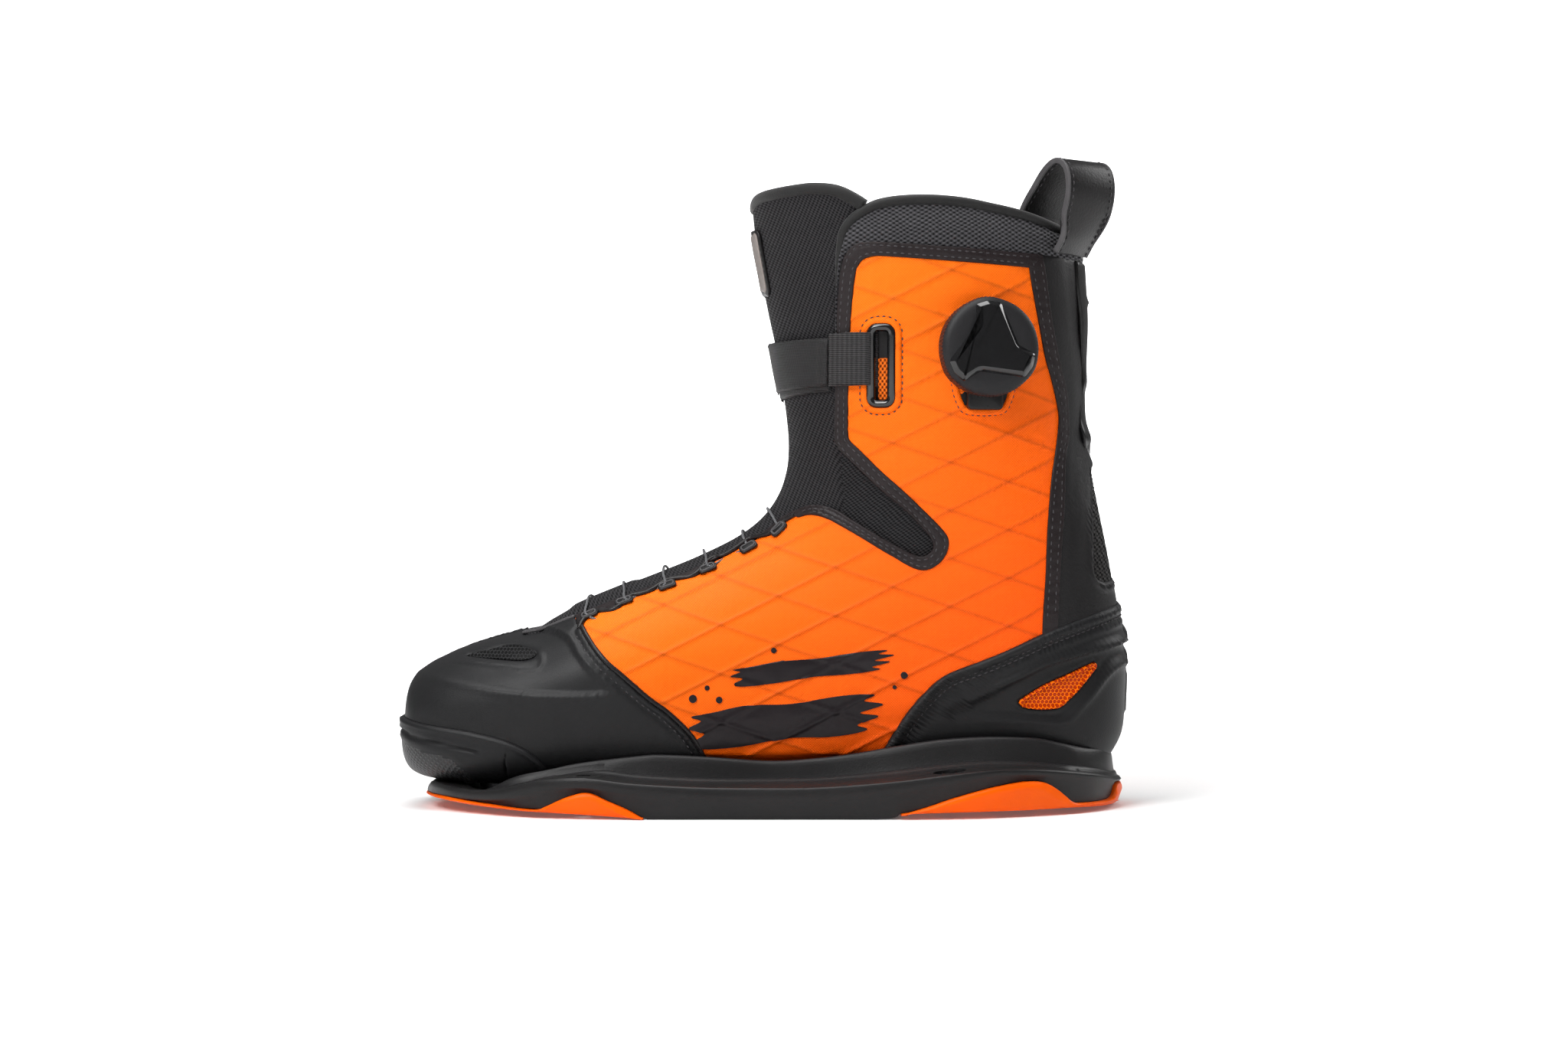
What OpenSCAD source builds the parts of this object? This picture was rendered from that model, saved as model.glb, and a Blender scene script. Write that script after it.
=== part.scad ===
// Wakeboard boot with a moulded base frame, dial lacing and an ankle strap.
// X runs from toe (-) to heel (+), Y from the outer side (-) to the inner side (+), Z up.

/* [Base frame] */
// Bolt spacing along the boot (board insert rows)
bolt_dx = 152.4; // [140:0.1:156]
// Bolt spacing across the boot
bolt_dy = 127; // [124:0.5:129]
// Clearance hole radius for the M6 board bolts
bolt_r = 3.3; // [3:0.1:3.6]
// Radius of the pocket for the bolt head and washer
pocket_r = 7; // [6.5:0.1:7.5]
// Thickness of the frame's floor above the grip pads
floor_top = 9; // [8.5:0.1:9.1]

/* [Boot] */
// Thickness of the outer shell fabric
shell_t = 1.6; // [1.2:0.1:1.7]
// Thickness of stitched trims and facings
trim_t = 0.85; // [0.6:0.05:0.9]
// Thickness of the rubber heel counter and toe bumper
rubber_t = 2; // [1.5:0.1:2.1]
// Thickness of the foam liner
liner_t = 5.4; // [4:0.1:6]
// Diameter of the lace
lace_d = 1.1; // [0.8:0.1:1.2]

/* [Lacing dial] */
// Knob diameter
knob_d = 41.5; // [41:0.1:42]
// Outward travel that frees the spool
pull = 3; // [2:0.1:3]
// Tilt of the dial's axis towards the heel
dial_tilt = 9; // [7:0.5:11]

/* [Hidden] */

// Cross-sections of the boot, from the tip of the toe, round the heel and up the cuff:
// front or top point x, z; back or bottom point x, z; half width;
// roundness of the front half, roundness of the back half; sideways shift.
SECTIONS = [
    [-156.8, 43, -156.8, 33, 5, 2.2, 2.2, 7],
    [-156.2, 49, -156.6, 25, 17, 2.2, 2.4, 7],
    [-153.8, 55, -155, 19, 27, 2.2, 2.8, 6.5],
    [-148.5, 60, -151, 15.5, 34.5, 2.2, 3.2, 6],
    [-139.5, 65, -142.5, 13.5, 41, 2.2, 3.6, 5],
    [-126, 70.5, -128, 12.5, 46, 2.2, 4, 4],
    [-111, 75, -110, 12, 49.5, 2.2, 4, 3],
    [-97, 79, -90, 12, 51.5, 2.2, 4, 2],
    [-82, 87, -68, 12, 52.5, 2.2, 4, 1],
    [-64, 94.5, -46, 12, 52, 2.2, 4, 0],
    [-46, 101.5, -23, 12, 50, 2.2, 4, 0],
    [-29, 108.5, 0, 12, 47, 2.2, 4, 0],
    [-13, 116.5, 26, 12, 44, 2.2, 3.8, 0],
    [-2, 125, 54, 12, 42, 2.2, 3.6, 0],
    [5, 135, 84, 12, 42, 2.2, 3.4, 0],
    [8.3, 145, 114, 12.5, 43, 2.3, 3.2, 0],
    [9.2, 153, 139, 16, 44, 2.3, 2.8, 0],
    [9.2, 160.5, 151, 30, 45, 2.3, 2.5, 0],
    [8.5, 168, 154, 50, 46, 2.3, 2.4, 0],
    [7.3, 176, 153.5, 75, 47, 2.3, 2.35, 0],
    [5.5, 186, 149, 105, 48, 2.3, 2.35, 0],
    [3.5, 198, 142.5, 138, 49, 2.3, 2.35, 0],
    [0.8, 212, 138, 168, 50, 2.3, 2.35, 0],
    [-2, 228, 137.5, 198, 51, 2.3, 2.35, 0],
    [-5, 244, 137.5, 222, 51.5, 2.3, 2.35, 0],
    [-7, 260, 135, 243, 51.5, 2.3, 2.35, 0],
    [-8, 272, 131, 258, 51.5, 2.3, 2.35, 0]];
LAST = len(SECTIONS) - 1;
AROUND = 24;   // facets round one section
GAP = 0.05;    // air between stacked layers of the upper

// Heights of the layers, measured outward from the outer face of the shell
INNER_FACE = -shell_t;
LINER_OUT = -3.6;
LINER_IN = LINER_OUT - liner_t;
LACE_DEPTH = -2.6;

// Side outlines, x and z
TOE_SEAM = [[-81, 80.5], [-78.5, 77], [-72.5, 68.5], [-67.5, 63], [-57.5, 54.5], [-48, 46.5],
    [-38.5, 39], [-31, 30.5], [-27.5, 24], [-26, 8]];
REAR_SEAM = [[110.5, 236.2], [111.5, 226], [115, 207.5], [121.5, 180.5], [124, 168.5],
    [122, 149.5], [118.5, 119.5], [118, 100], [116.5, 75.5], [116, 8]];
NOTCH = [[-8, 118], [4, 123], [10, 126.5], [16.5, 129.5], [24.5, 129.5], [34, 125.5], [48.5, 116],
    [58.5, 110.5], [66, 108], [70.5, 113], [66, 119.5], [58.5, 127.5], [48.5, 136], [32, 152],
    [29, 157.5], [15, 165]];
COUNTER_TOP = [[49.5, 26.5], [53, 32.5], [58, 40.5], [63, 46.5], [71, 54.5], [77.5, 59.5],
    [97.5, 67], [116.5, 75.5], [137, 83], [148, 87], [165, 90]];
BUMPER_TOP = [[-165, 39.5], [-156, 39], [-146.5, 36.5], [-125.5, 34.5], [-115.5, 32],
    [-106, 29.5], [-96, 24.5], [-92, 20], [-91, 15]];
TOE_VENT = [[-128.5, 66.5], [-118, 69.5], [-108, 71.3], [-101, 70.3], [-97.5, 67.5],
    [-102, 65.5], [-117, 66]];
HEEL_VENT = [[106.5, 46.5], [116.5, 53.5], [126.5, 57.5], [138, 63], [140, 61.5], [132, 52],
    [124, 45], [114.5, 44]];
CUFF_TOP = [[20, 236], [34, 237.5], [41, 240.5], [67, 238.5], [115, 236], [165, 233]];
COLLAR_TOP = [[22, 236], [30, 243], [35, 246], [46, 251], [60, 252.5], [75, 252], [92, 249.5],
    [110, 246], [122, 241.5], [165, 240]];
COLLAR_BIND = 4;
SOLE_Z = 12;
RING_AT = [48.2, 188.5];
DIAL_HOLE_R = 18.4;

// Half width of the gap in the upper that the tongue fills, as a share of the section
TONGUE_GAP = [[6.5, 0.1], [8, 0.16], [10.5, 0.15], [12, 0.13], [13.5, 0.15], [14.6, 0.2],
    [15.5, 0.24], [18.4, 0.26], [22, 0.31], [24.6, 0.37], [26, 0.41]];

// Half widths of the bottom of the boot in the frame's tray
FOOT_PLAN = [[-127, 0], [-125, 20], [-118, 41], [-110, 48], [-97, 52], [-77, 51], [-48, 50],
    [-20, 48], [0, 45.5], [20, 43.5], [40, 43], [60, 44], [80, 44.5], [97, 44.5], [110, 43],
    [120, 40], [130, 35], [138, 29], [145, 20], [149, 10], [150.5, 0]];
// Half widths of the frame's flange
FLANGE_PLAN = [[-147.7, 0], [-146.5, 12], [-143, 24], [-136, 36], [-126, 47], [-112, 59],
    [-98, 68], [-82, 74.5], [-62, 77], [62, 77], [82, 75.5], [98, 70.5], [114, 62], [128, 51],
    [140, 38], [149, 22], [152.5, 9], [153.3, 0]];
// Heights of the frame along its length, x and z
RIM = [[-160, 8], [-121, 9], [-110, 15], [-90, 20.5], [-77, 22.5], [-57, 24.6], [-48, 25],
    [-28, 24.2], [0, 22.4], [20, 23.2], [39, 25.3], [58, 28.3], [77, 31], [97, 32.2],
    [116, 31.7], [138, 27], [149, 25]];
LAND = [[-148, 8], [-125, 8.8], [-115, 9.4], [-105, 12.9], [-95, 15.7], [-80, 17], [-70, 16.6],
    [-56, 15], [-28, 13.4], [0, 13.1], [19, 13.3], [38, 14.5], [57, 16.2], [76, 18.5],
    [95, 20], [115, 19.5], [137, 17], [154, 12.3]];
UNDERSIDE = [[-148, 6.4], [-137, 6.3], [-126, 5.3], [-105, 3.7], [-94, 3.6], [-50, 0], [42, 0],
    [57, 3.4], [131, 4.4], [154, 4.4]];
// Height of the pads' lower face along the length
GROUND = [[-148, 4.8], [-137, 4.4], [-126, 3.6], [-105, 2.6], [-85, 2.3], [-66, 1.4], [-52, 0],
    [-49, 0], [49, 1.4], [59, 2.4], [76, 2.8], [154, 2.8]];
FRONT_ARCH = [[-94.5, 3.5], [-87, 7.4], [-83, 9.2], [-78, 10.8], [-74.5, 11], [-71.5, 10.4],
    [-66, 7.8], [-61, 5.6], [-56, 3], [-50, 0.3]];
REAR_ARCH = [[56, 3], [66.6, 5.1], [76, 8.4], [86, 11.1], [95.5, 13.1], [105, 14.7],
    [113, 14.8], [118.5, 13.4], [122.6, 10.8], [130.5, 4.3]];

// Where the dial's axis meets the shell: section, place round it
DIAL_U = 22.5;
DIAL_T = -0.588;

// Hand-picked route of the lace: section, place round it (negative is the outer side), height
LACE_ROWS = [13.3, 12.2, 11.1, 10.1, 9.1, 8.3];
LACE_TOP = 1.7;
LACE_OUT = [[20.6, -0.62, LACE_DEPTH], [19.6, -0.6, LACE_DEPTH], [18.4, -0.58, LACE_DEPTH],
    [17.2, -0.54, LACE_DEPTH], [16, -0.46, LACE_DEPTH], [15, -0.36, LACE_DEPTH],
    [14.2, -0.27, LACE_DEPTH], [13.6, -0.21, -1.2]];
LACE_BACK = [[8.6, -0.24, -1.2], [9.4, -0.3, LACE_DEPTH], [10.8, -0.37, LACE_DEPTH],
    [12.4, -0.44, LACE_DEPTH], [14, -0.5, LACE_DEPTH], [15.6, -0.55, LACE_DEPTH],
    [17.2, -0.6, LACE_DEPTH], [18.6, -0.64, LACE_DEPTH], [19.8, -0.66, LACE_DEPTH],
    [20.7, -0.65, LACE_DEPTH]];
// The lace's last stretch into the spool, in the dial's frame; its other end mirrors in X
LACE_IN = [[0.62, -9.8, 2.9], [0.62, -15, 2.9], [0.62, -21, 2.9], [0.62, -26, 2.2],
    [1.4, -29.5, -0.2]];

function clamp(v, lo, hi) = min(max(v, lo), hi);
function table(t, v) = lookup(v, t);
function flip(list) = [for (i = [len(list) - 1 : -1 : 0]) list[i]];
function shift_z(list, dz) = [for (p = list) [p[0], p[1] + dz]];
function power(v, n) = sign(v) * pow(abs(v), n);

// A section between the listed ones, on a smooth curve through them
function section(u) = let (
    v = clamp(u, 0, LAST - 0.0001), i = floor(v), f = v - i,
    a = SECTIONS[max(i - 1, 0)], b = SECTIONS[i], c = SECTIONS[i + 1], d = SECTIONS[min(i + 2, LAST)])
    0.5 * (2 * b + (c - a) * f + (2 * a - 5 * b + 4 * c - d) * f * f
        + (3 * b - a - 3 * c + d) * f * f * f);

// A point of the boot: u picks the section, t runs round it from -1 (back or bottom) along the
// outer side to 0 (front or top) and on along the inner side to 1, out lifts it off the shell.
function skin(u, t, out = 0) = let (
    s = section(u), turn = 180 * abs(t), c = cos(turn), n = c > 0 ? s[5] : s[6],
    length = norm([s[0] - s[2], s[1] - s[3]]), half = length / 2,
    h = max(half + out, 0.3 * half), w = max(s[4] + out, 0.3 * s[4]),
    e = [s[0] - s[2], s[1] - s[3]] / length, tip = u < 5 ? pow(1 - u / 5, 1.5) : 0,
    along = h * power(c, 2 / n), side = w * power(sin(turn), 2 / n))
    [(s[0] + s[2]) / 2 + e[0] * along - out * tip, s[7] + sign(t) * side,
        (s[1] + s[3]) / 2 + e[1] * along];

// Two triangles of one grid cell, clockwise from outside
function cell(a, b, c, d) = [[a, b, c], [a, c, d]];
function flat(lists) = [for (l = lists) for (m = l) m];

// Closed body between the section u0 and the section u1, out millimetres off the shell
module loft(out, u0 = 0, u1 = LAST) {
    rings = [for (u = [u0 : 1 : u1 - 0.5]) u, u1];
    n = AROUND;
    m = len(rings) - 1;
    points = concat([for (u = rings) for (j = [0 : n - 1]) skin(u, -1 + 2 * j / n, out)],
        [(skin(u0, 0, out) + skin(u0, 1, out)) / 2, (skin(u1, 0, out) + skin(u1, 1, out)) / 2]);
    low = (m + 1) * n;
    wall = flat([for (i = [0 : m - 1]) for (j = [0 : n - 1]) let (k = (j + 1) % n)
        cell(i * n + j, i * n + k, (i + 1) * n + k, (i + 1) * n + j)]);
    caps = [for (j = [0 : n - 1]) let (k = (j + 1) % n) each
        [[low, k, j], [low + 1, m * n + j, m * n + k]]];
    polyhedron(points, concat(wall, caps));
}

// Layer of the upper between two heights off the shell, open at the cuff
module layer(inside, outside, u1 = LAST - 0.2) {
    difference() {
        loft(outside, 0, u1);
        loft(inside, 0, LAST);
    }
}

// Closed patch between sections u0 and u1 and, at each section, from lo(u) to hi(u) round it
module patch(inside, outside, u0, u1, lo, hi, steps, columns) {
    r = columns + 1;
    us = [for (i = [0 : steps]) u0 + (u1 - u0) * i / steps];
    sheet = [for (out = [outside, inside]) each [for (u = us) for (j = [0 : columns])
        skin(u, lo(u) + (hi(u) - lo(u)) * j / columns, out)]];
    k = (steps + 1) * r;
    faces = flat(flat([for (i = [0 : steps - 1]) for (j = [0 : columns - 1]) let (a = i * r + j)
        [cell(a, a + 1, a + r + 1, a + r), cell(k + a, k + a + r, k + a + r + 1, k + a + 1)]]));
    sides = flat(flat([for (i = [0 : steps - 1]) let (a = i * r, b = a + columns)
        [cell(a, a + r, k + a + r, k + a), cell(b + r, b, k + b, k + b + r)]]));
    ends = flat(flat([for (j = [0 : columns - 1]) let (b = steps * r + j)
        [cell(j + 1, j, k + j, k + j + 1), cell(b, b + 1, k + b + 1, k + b)]]));
    polyhedron(sheet, concat(faces, sides, ends));
}

// The gap that the tongue fills, widened by extra
module tongue_gap(extra = 0, inside = -14, outside = 6) {
    patch(inside, outside, 6.5, 25.9, function(u) -table(TONGUE_GAP, u) - extra,
        function(u) table(TONGUE_GAP, u) + extra, 24, 8);
}

// Side outline pulled across the outer side (-1), the inner side (1) or both (0)
module across(outline, side = 0) {
    translate([0, side < 0 ? 0 : 100, 0])
        rotate([90, 0, 0]) linear_extrude(side == 0 ? 200 : 100) polygon(outline);
}

// Everything in a side outline given as a 2D child
module across_2d(side = 0) {
    translate([0, side < 0 ? 0 : 100, 0])
        rotate([90, 0, 0]) linear_extrude(side == 0 ? 200 : 100) children();
}

// One closed mesh from the solids inside
module sewn() {
    resize([0, 0, 0]) children();
}

// Plan outline with the given half widths, narrowed by inset
function plan(widths, inset = 0) = let (
    n = len(widths) - 1, mid = (widths[0][0] + widths[n][0]) / 2,
    reach = (widths[n][0] - widths[0][0]) / 2, k = 1 - inset / reach,
    p = [for (w = widths) [mid + (w[0] - mid) * k, max(w[1] - inset * min(1, w[1] / 25), 0)]])
    concat(p, [for (i = [n - 1 : -1 : 1]) [p[i][0], -p[i][1]]]);

module bolt_places() {
    for (x = [-1, 1], y = [-1, 1]) translate([x * bolt_dx / 2, y * bolt_dy / 2, 0]) children();
}

SCREW_PLACES = [[-70, 20], [-70, -20], [0, 18], [0, -18], [85, 18], [85, -18]];

// ---- Base ----

module base_frame() {
    color("#1c1c1e") difference() {
        union() {
            intersection() {
                linear_extrude(60) polygon(plan(FLANGE_PLAN));
                across(concat(UNDERSIDE, flip(LAND)));
            }
            intersection() {
                linear_extrude(60) polygon(plan(FOOT_PLAN, -4));
                across(concat([[-125, 8.5], [149, 8.5]], [[153.3, 24]], flip(RIM)));
            }
        }
        translate([0, 0, floor_top]) linear_extrude(60) polygon(plan(FOOT_PLAN));
        bolt_places() {
            translate([0, 0, -1]) cylinder(r = bolt_r, h = 60, $fn = 64);
            translate([0, 0, 7]) cylinder(r = pocket_r, h = 60, $fn = 64);
        }
        for (p = SCREW_PLACES) translate([p[0], p[1], -1]) {
            cylinder(r = 2.7, h = 20, $fn = 48);
            cylinder(r = 5.2, h = 5, $fn = 48);
        }
        intersection() {
            pad_room();
            union() {
                across(concat(FRONT_ARCH, [[-50, -2], [-94.5, -2]]));
                across(concat(REAR_ARCH, [[130.5, -2], [56, -2]]));
            }
        }
    }
}

// Where the pads may be: thin under the whole frame, tall only along its edge
PAD_T = 5;
PAD_LIP = 5;
module pad_room() {
    translate([-200, -100, -5]) cube([400, 200, PAD_T + 5]);
    difference() {
        translate([-200, -100, 0]) cube([400, 200, 30]);
        translate([0, 0, -1]) linear_extrude(60) polygon(plan(FLANGE_PLAN, PAD_LIP));
    }
}

// Pad under the frame, from its lower face up to the given upper line
module grip_pad(top, x0, x1) {
    color("#ff6a10") difference() {
        intersection() {
            linear_extrude(30) polygon(plan(FLANGE_PLAN));
            pad_room();
            across(concat([for (p = GROUND) if (p[0] > x0 && p[0] < x1) p],
                [[x1, table(GROUND, x1)]], flip(shift_z(top, -GAP)), [[x0, table(GROUND, x0)]]));
        }
        bolt_places() translate([0, 0, -1]) cylinder(r = bolt_r, h = 60, $fn = 64);
        for (p = SCREW_PLACES) translate([p[0], p[1], -1]) cylinder(r = 5.2, h = 30, $fn = 48);
    }
}
module front_grip_pad() {
    grip_pad(concat([[-147.5, 6.3], [-137, 6.3], [-126, 5.3], [-105, 3.7]], FRONT_ARCH), -147.5, -50);
}
module rear_grip_pad() {
    grip_pad(concat(REAR_ARCH, [[131, 4.4], [153, 4.4]]), 56, 153);
}

module outsole() {
    color("#202022") difference() {
        translate([0, 0, floor_top + 0.1]) linear_extrude(SOLE_Z - floor_top - 0.2)
            polygon(plan(FOOT_PLAN, 2));
        for (p = SCREW_PLACES) translate([p[0], p[1], 0]) cylinder(r = 2.7, h = 30, $fn = 48);
    }
}

module frame_screws() {
    color("#b9bcc0") for (p = SCREW_PLACES) translate([p[0], p[1], 0]) {
        translate([0, 0, 1.6]) cylinder(r = 5, h = 2.3, $fn = 48);
        translate([0, 0, 1.6]) cylinder(r = 2.5, h = 13, $fn = 48);
    }
}

module tee_nuts() {
    color("#c9a64a") for (p = SCREW_PLACES) translate([p[0], p[1], SOLE_Z + 0.2]) difference() {
        cylinder(r = 4, h = 2.5, $fn = 48);
        translate([0, 0, -1]) cylinder(r = 2.6, h = 5, $fn = 48);
    }
}

module lasting_board() {
    color("#3a3026") difference() {
        translate([0, 0, SOLE_Z + 0.1]) linear_extrude(2.7) polygon(plan(FOOT_PLAN, 14));
        for (p = SCREW_PLACES) translate([p[0], p[1], 0]) cylinder(r = 4.1, h = 30, $fn = 48);
    }
}

module footbed() {
    color("#4a4a4e") sewn() intersection() {
        loft(LINER_IN - 0.4, 0, 17);
        across([[-170, SOLE_Z - LINER_IN + 0.5], [170, SOLE_Z - LINER_IN + 0.5],
            [170, SOLE_Z - LINER_IN + 4], [-170, SOLE_Z - LINER_IN + 4]]);
    }
}

// ---- Shell of the upper ----

// The board's place in the bottom of the lasted shell
module board_window() {
    linear_extrude(SOLE_Z + 4) polygon(plan(FOOT_PLAN, 13.4));
}

module toe_cap() {
    color("#242426") sewn() difference() {
        intersection() {
            layer(INNER_FACE, 0, 12);
            across(concat([[-26, 5], [-170, 5], [-170, 100], [-97, 100], [-97, 82]], TOE_SEAM));
        }
        across(TOE_VENT);
        board_window();
        tongue_gap(0.01);
    }
}

module toe_vents() {
    color("#101012") sewn() intersection() {
        layer(INNER_FACE, -0.5, 9);
        across_2d() offset(delta = -0.2) polygon(TOE_VENT);
    }
}

module toe_bumper() {
    color("#1a1a1c") sewn() difference() {
        intersection() {
            layer(GAP, rubber_t + 0.2, 9);
            across(concat(BUMPER_TOP, [[-95, 10.2], [-170, 10.2]]));
        }
        linear_extrude(SOLE_Z + 0.1) polygon(plan(FOOT_PLAN, 1));
        linear_extrude(SOLE_Z + 4) polygon(plan(FOOT_PLAN, 8));
    }
}

// Fabric quarter on one side
module quarter(side) {
    color("#ff6400") sewn() difference() {
        intersection() {
            layer(INNER_FACE, 0);
            across(concat(flip(TOE_SEAM), [[-97, 82.5], [-97, 130], [-10, 200], [20, 236]],
                [for (p = CUFF_TOP) if (p[0] > 20 && p[0] < 110) p], REAR_SEAM), side);
        }
        across(NOTCH);
        board_window();
        tongue_gap(0.01);
        dial_place() cylinder(r = DIAL_HOLE_R, h = 30, center = true, $fn = 40);
        across_2d() ring_outline(-0.2);
    }
}
module quarter_outer() {
    quarter(-1);
}
module quarter_inner() {
    quarter(1);
}

BACK_WINDOW = [[139, 99], [141.5, 96.5], [170, 96.5], [170, 146.5], [139, 146.5]];
module back_panel() {
    color("#202022") sewn() difference() {
        intersection() {
            layer(INNER_FACE, 0);
            translate([0.1, 0, 0]) across(concat(REAR_SEAM,
                [[165, 8], [165, 233], [115, 236]]));
        }
        across(BACK_WINDOW);
        board_window();
        dial_place() cylinder(r = DIAL_HOLE_R, h = 30, center = true, $fn = 40);
    }
}

module achilles_gusset() {
    color("#161618") sewn() intersection() {
        layer(INNER_FACE, -0.1);
        across_2d() offset(delta = -0.1) polygon(BACK_WINDOW);
    }
}

module back_stay() {
    color("#19191b") sewn() intersection() {
        layer(GAP, 1.3);
        across([[133, 152], [170, 152], [170, 234], [131, 234.5]]);
    }
}

HEEL_RIBS = [62.5, 73];   // heights of the two ribs across the heel
RIB_H = 3.4;
module heel_counter() {
    color("#1b1b1d") sewn() {
        difference() {
            intersection() {
                layer(GAP, rubber_t);
                across(concat([[49, SOLE_Z + 0.3]], COUNTER_TOP, [[165, SOLE_Z + 0.3]]));
            }
            linear_extrude(SOLE_Z + 8) polygon(plan(FOOT_PLAN, 9));
            across(HEEL_VENT);
        }
        for (z = HEEL_RIBS) intersection() {
            layer(rubber_t / 2, rubber_t + 2.6);
            across([[150, z], [165, z], [165, z + RIB_H], [150, z + RIB_H]]);
        }
    }
}

module heel_vents() {
    color("#ff6a10") sewn() intersection() {
        layer(GAP, rubber_t - 0.5);
        across_2d() offset(delta = -0.2) polygon(HEEL_VENT);
    }
}

module ankle_gussets() {
    color("#121214") sewn() difference() {
        intersection() {
            layer(LINER_OUT + 0.2, -2);
            across_2d() offset(delta = 2) polygon(NOTCH);
        }
        tongue_gap(0.012);
    }
}

// ---- Stitched trims ----

// Side outline of the stitched strip round the notch, up the cuff's front and along its top
module trim_outline() {
    difference() {
        union() {
            difference() {
                offset(delta = 5.5) polygon(NOTCH);
                polygon(NOTCH);
            }
            polygon(concat([[26, 158], [34.5, 158], [34, 188], [36.5, 226], [42, 234], [110, 229.5]],
                [[113, 236]], flip([for (p = CUFF_TOP) if (p[0] > 20 && p[0] < 110) p]),
                [[24, 236]]));
        }
        translate([-60, 60]) square([66, 100]);
    }
}
module trim(side) {
    color("#141416") sewn() difference() {
        intersection() {
            layer(GAP, trim_t);
            across_2d(side) trim_outline();
        }
        tongue_gap(0.012);
    }
}
module trim_outer() {
    trim(-1);
}
module trim_inner() {
    trim(1);
}

module rear_trims() {
    color("#141416") sewn() difference() {
        intersection() {
            layer(GAP, trim_t);
            across([[114, 235.5], [111.8, 226], [115.3, 207.5], [121.8, 180.5], [124.3, 168.5],
                [122.3, 149.5], [118.8, 119.5], [118.3, 100], [117.5, 82], [122, 84],
                [124.5, 110], [126.5, 149], [128, 168.5], [125, 188], [120, 212.5], [116.5, 235.5]]);
        }
        dial_place() cylinder(r = DIAL_HOLE_R, h = 30, center = true, $fn = 40);
    }
}

FACING_START = 8.1;
FACING_END = 13.2;
module lace_facings() {
    color("#161618") sewn() intersection() {
        layer(GAP, trim_t, 16);
        for (side = [-1, 1])
            patch(-1, 2, FACING_START, FACING_END,
                function(u) side * (table(TONGUE_GAP, u) + (side > 0 ? 0.014 : 0.06)),
                function(u) side * (table(TONGUE_GAP, u) + (side > 0 ? 0.06 : 0.014)), 10, 1);
    }
}

// Puts its children on the shell at section u, place t, height out, upright along the surface
module on_skin(u, t, out) {
    p = skin(u, t, out);
    a = skin(u + 0.05, t, out) - skin(u - 0.05, t, out);
    b = skin(u, t + 0.01, out) - skin(u, t - 0.01, out);
    x = a / norm(a);
    z = cross(a, b) / norm(cross(a, b));
    y = cross(z, x);
    multmatrix([[x[0], y[0], z[0], p[0]], [x[1], y[1], z[1], p[1]], [x[2], y[2], z[2], p[2]],
        [0, 0, 0, 1]]) children();
}

function guide_t(u) = table(TONGUE_GAP, u) + 0.038;
module lace_guides() {
    color("#2c2c30") for (u = LACE_ROWS, side = [-1, 1]) on_skin(u, side * guide_t(u), trim_t + 0.3)
        linear_extrude(1.9) offset(r = 1.2, $fn = 16) square([5.2, 2.2], center = true);
}

// ---- Lace ----

// The lace crosses the tongue once in each row, by turns from the outer and from the inner side
LACE_ROWS_OVER = [for (i = [0 : len(LACE_ROWS) - 1]) let (u = LACE_ROWS[i],
    g = guide_t(u) * (i % 2 == 0 ? -1 : 1)) for (f = [1 : -0.4 : -1])
    [u + 0.06 * f, g * f, LACE_TOP + 0.4 * (1 - f * f)]];
LACE_ROUTE = concat([for (p = LACE_IN) dial_point([-p[0], p[1], p[2]])],
    [for (p = concat(LACE_OUT, LACE_ROWS_OVER, LACE_BACK))
        skin(p[0], p[1], p[2])], flip([for (p = LACE_IN) dial_point(p)]));

// Round tube along a route
module tube(route, d, sides = 8) {
    n = len(route) - 1;
    dirs = [for (i = [0 : n]) let (v = route[min(i + 1, n)] - route[max(i - 1, 0)]) v / norm(v)];
    rings = [for (i = [0 : n]) let (a = dirs[i], q = abs(a[2]) < 0.9 ? [0, 0, 1] : [0, 1, 0],
        b = cross(a, q) / norm(cross(a, q)), c = cross(a, b))
        each [for (k = [0 : sides - 1]) route[i] + d / 2 * (b * cos(360 * k / sides)
            + c * sin(360 * k / sides))]];
    wall = flat([for (i = [0 : n - 1]) for (k = [0 : sides - 1]) let (m = (k + 1) % sides)
        cell(i * sides + m, i * sides + k, (i + 1) * sides + k, (i + 1) * sides + m)]);
    caps = [[for (k = [0 : sides - 1]) k], [for (k = [sides - 1 : -1 : 0]) n * sides + k]];
    polyhedron(rings, concat(wall, caps));
}
module lace() {
    color("#77787c") tube(LACE_ROUTE, lace_d);
}

// ---- Tongue, liner and collar ----

module tongue() {
    color("#1a1a1c") patch(-4.5, -0.1, 7, 25.2, function(u) -table(TONGUE_GAP, u) + 0.004,
        function(u) table(TONGUE_GAP, u) - 0.004, 26, 8);
}
module tongue_binding() {
    color("#101012") patch(-5, 0.2, 25.25, 25.75, function(u) -table(TONGUE_GAP, u) + 0.004,
        function(u) table(TONGUE_GAP, u) - 0.004, 1, 8);
}
module tongue_badge() {
    color("#8a8480") patch(0.5, 2, 22.5, 24.3, function(u) -0.1, function(u) 0.1, 3, 4);
}

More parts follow.
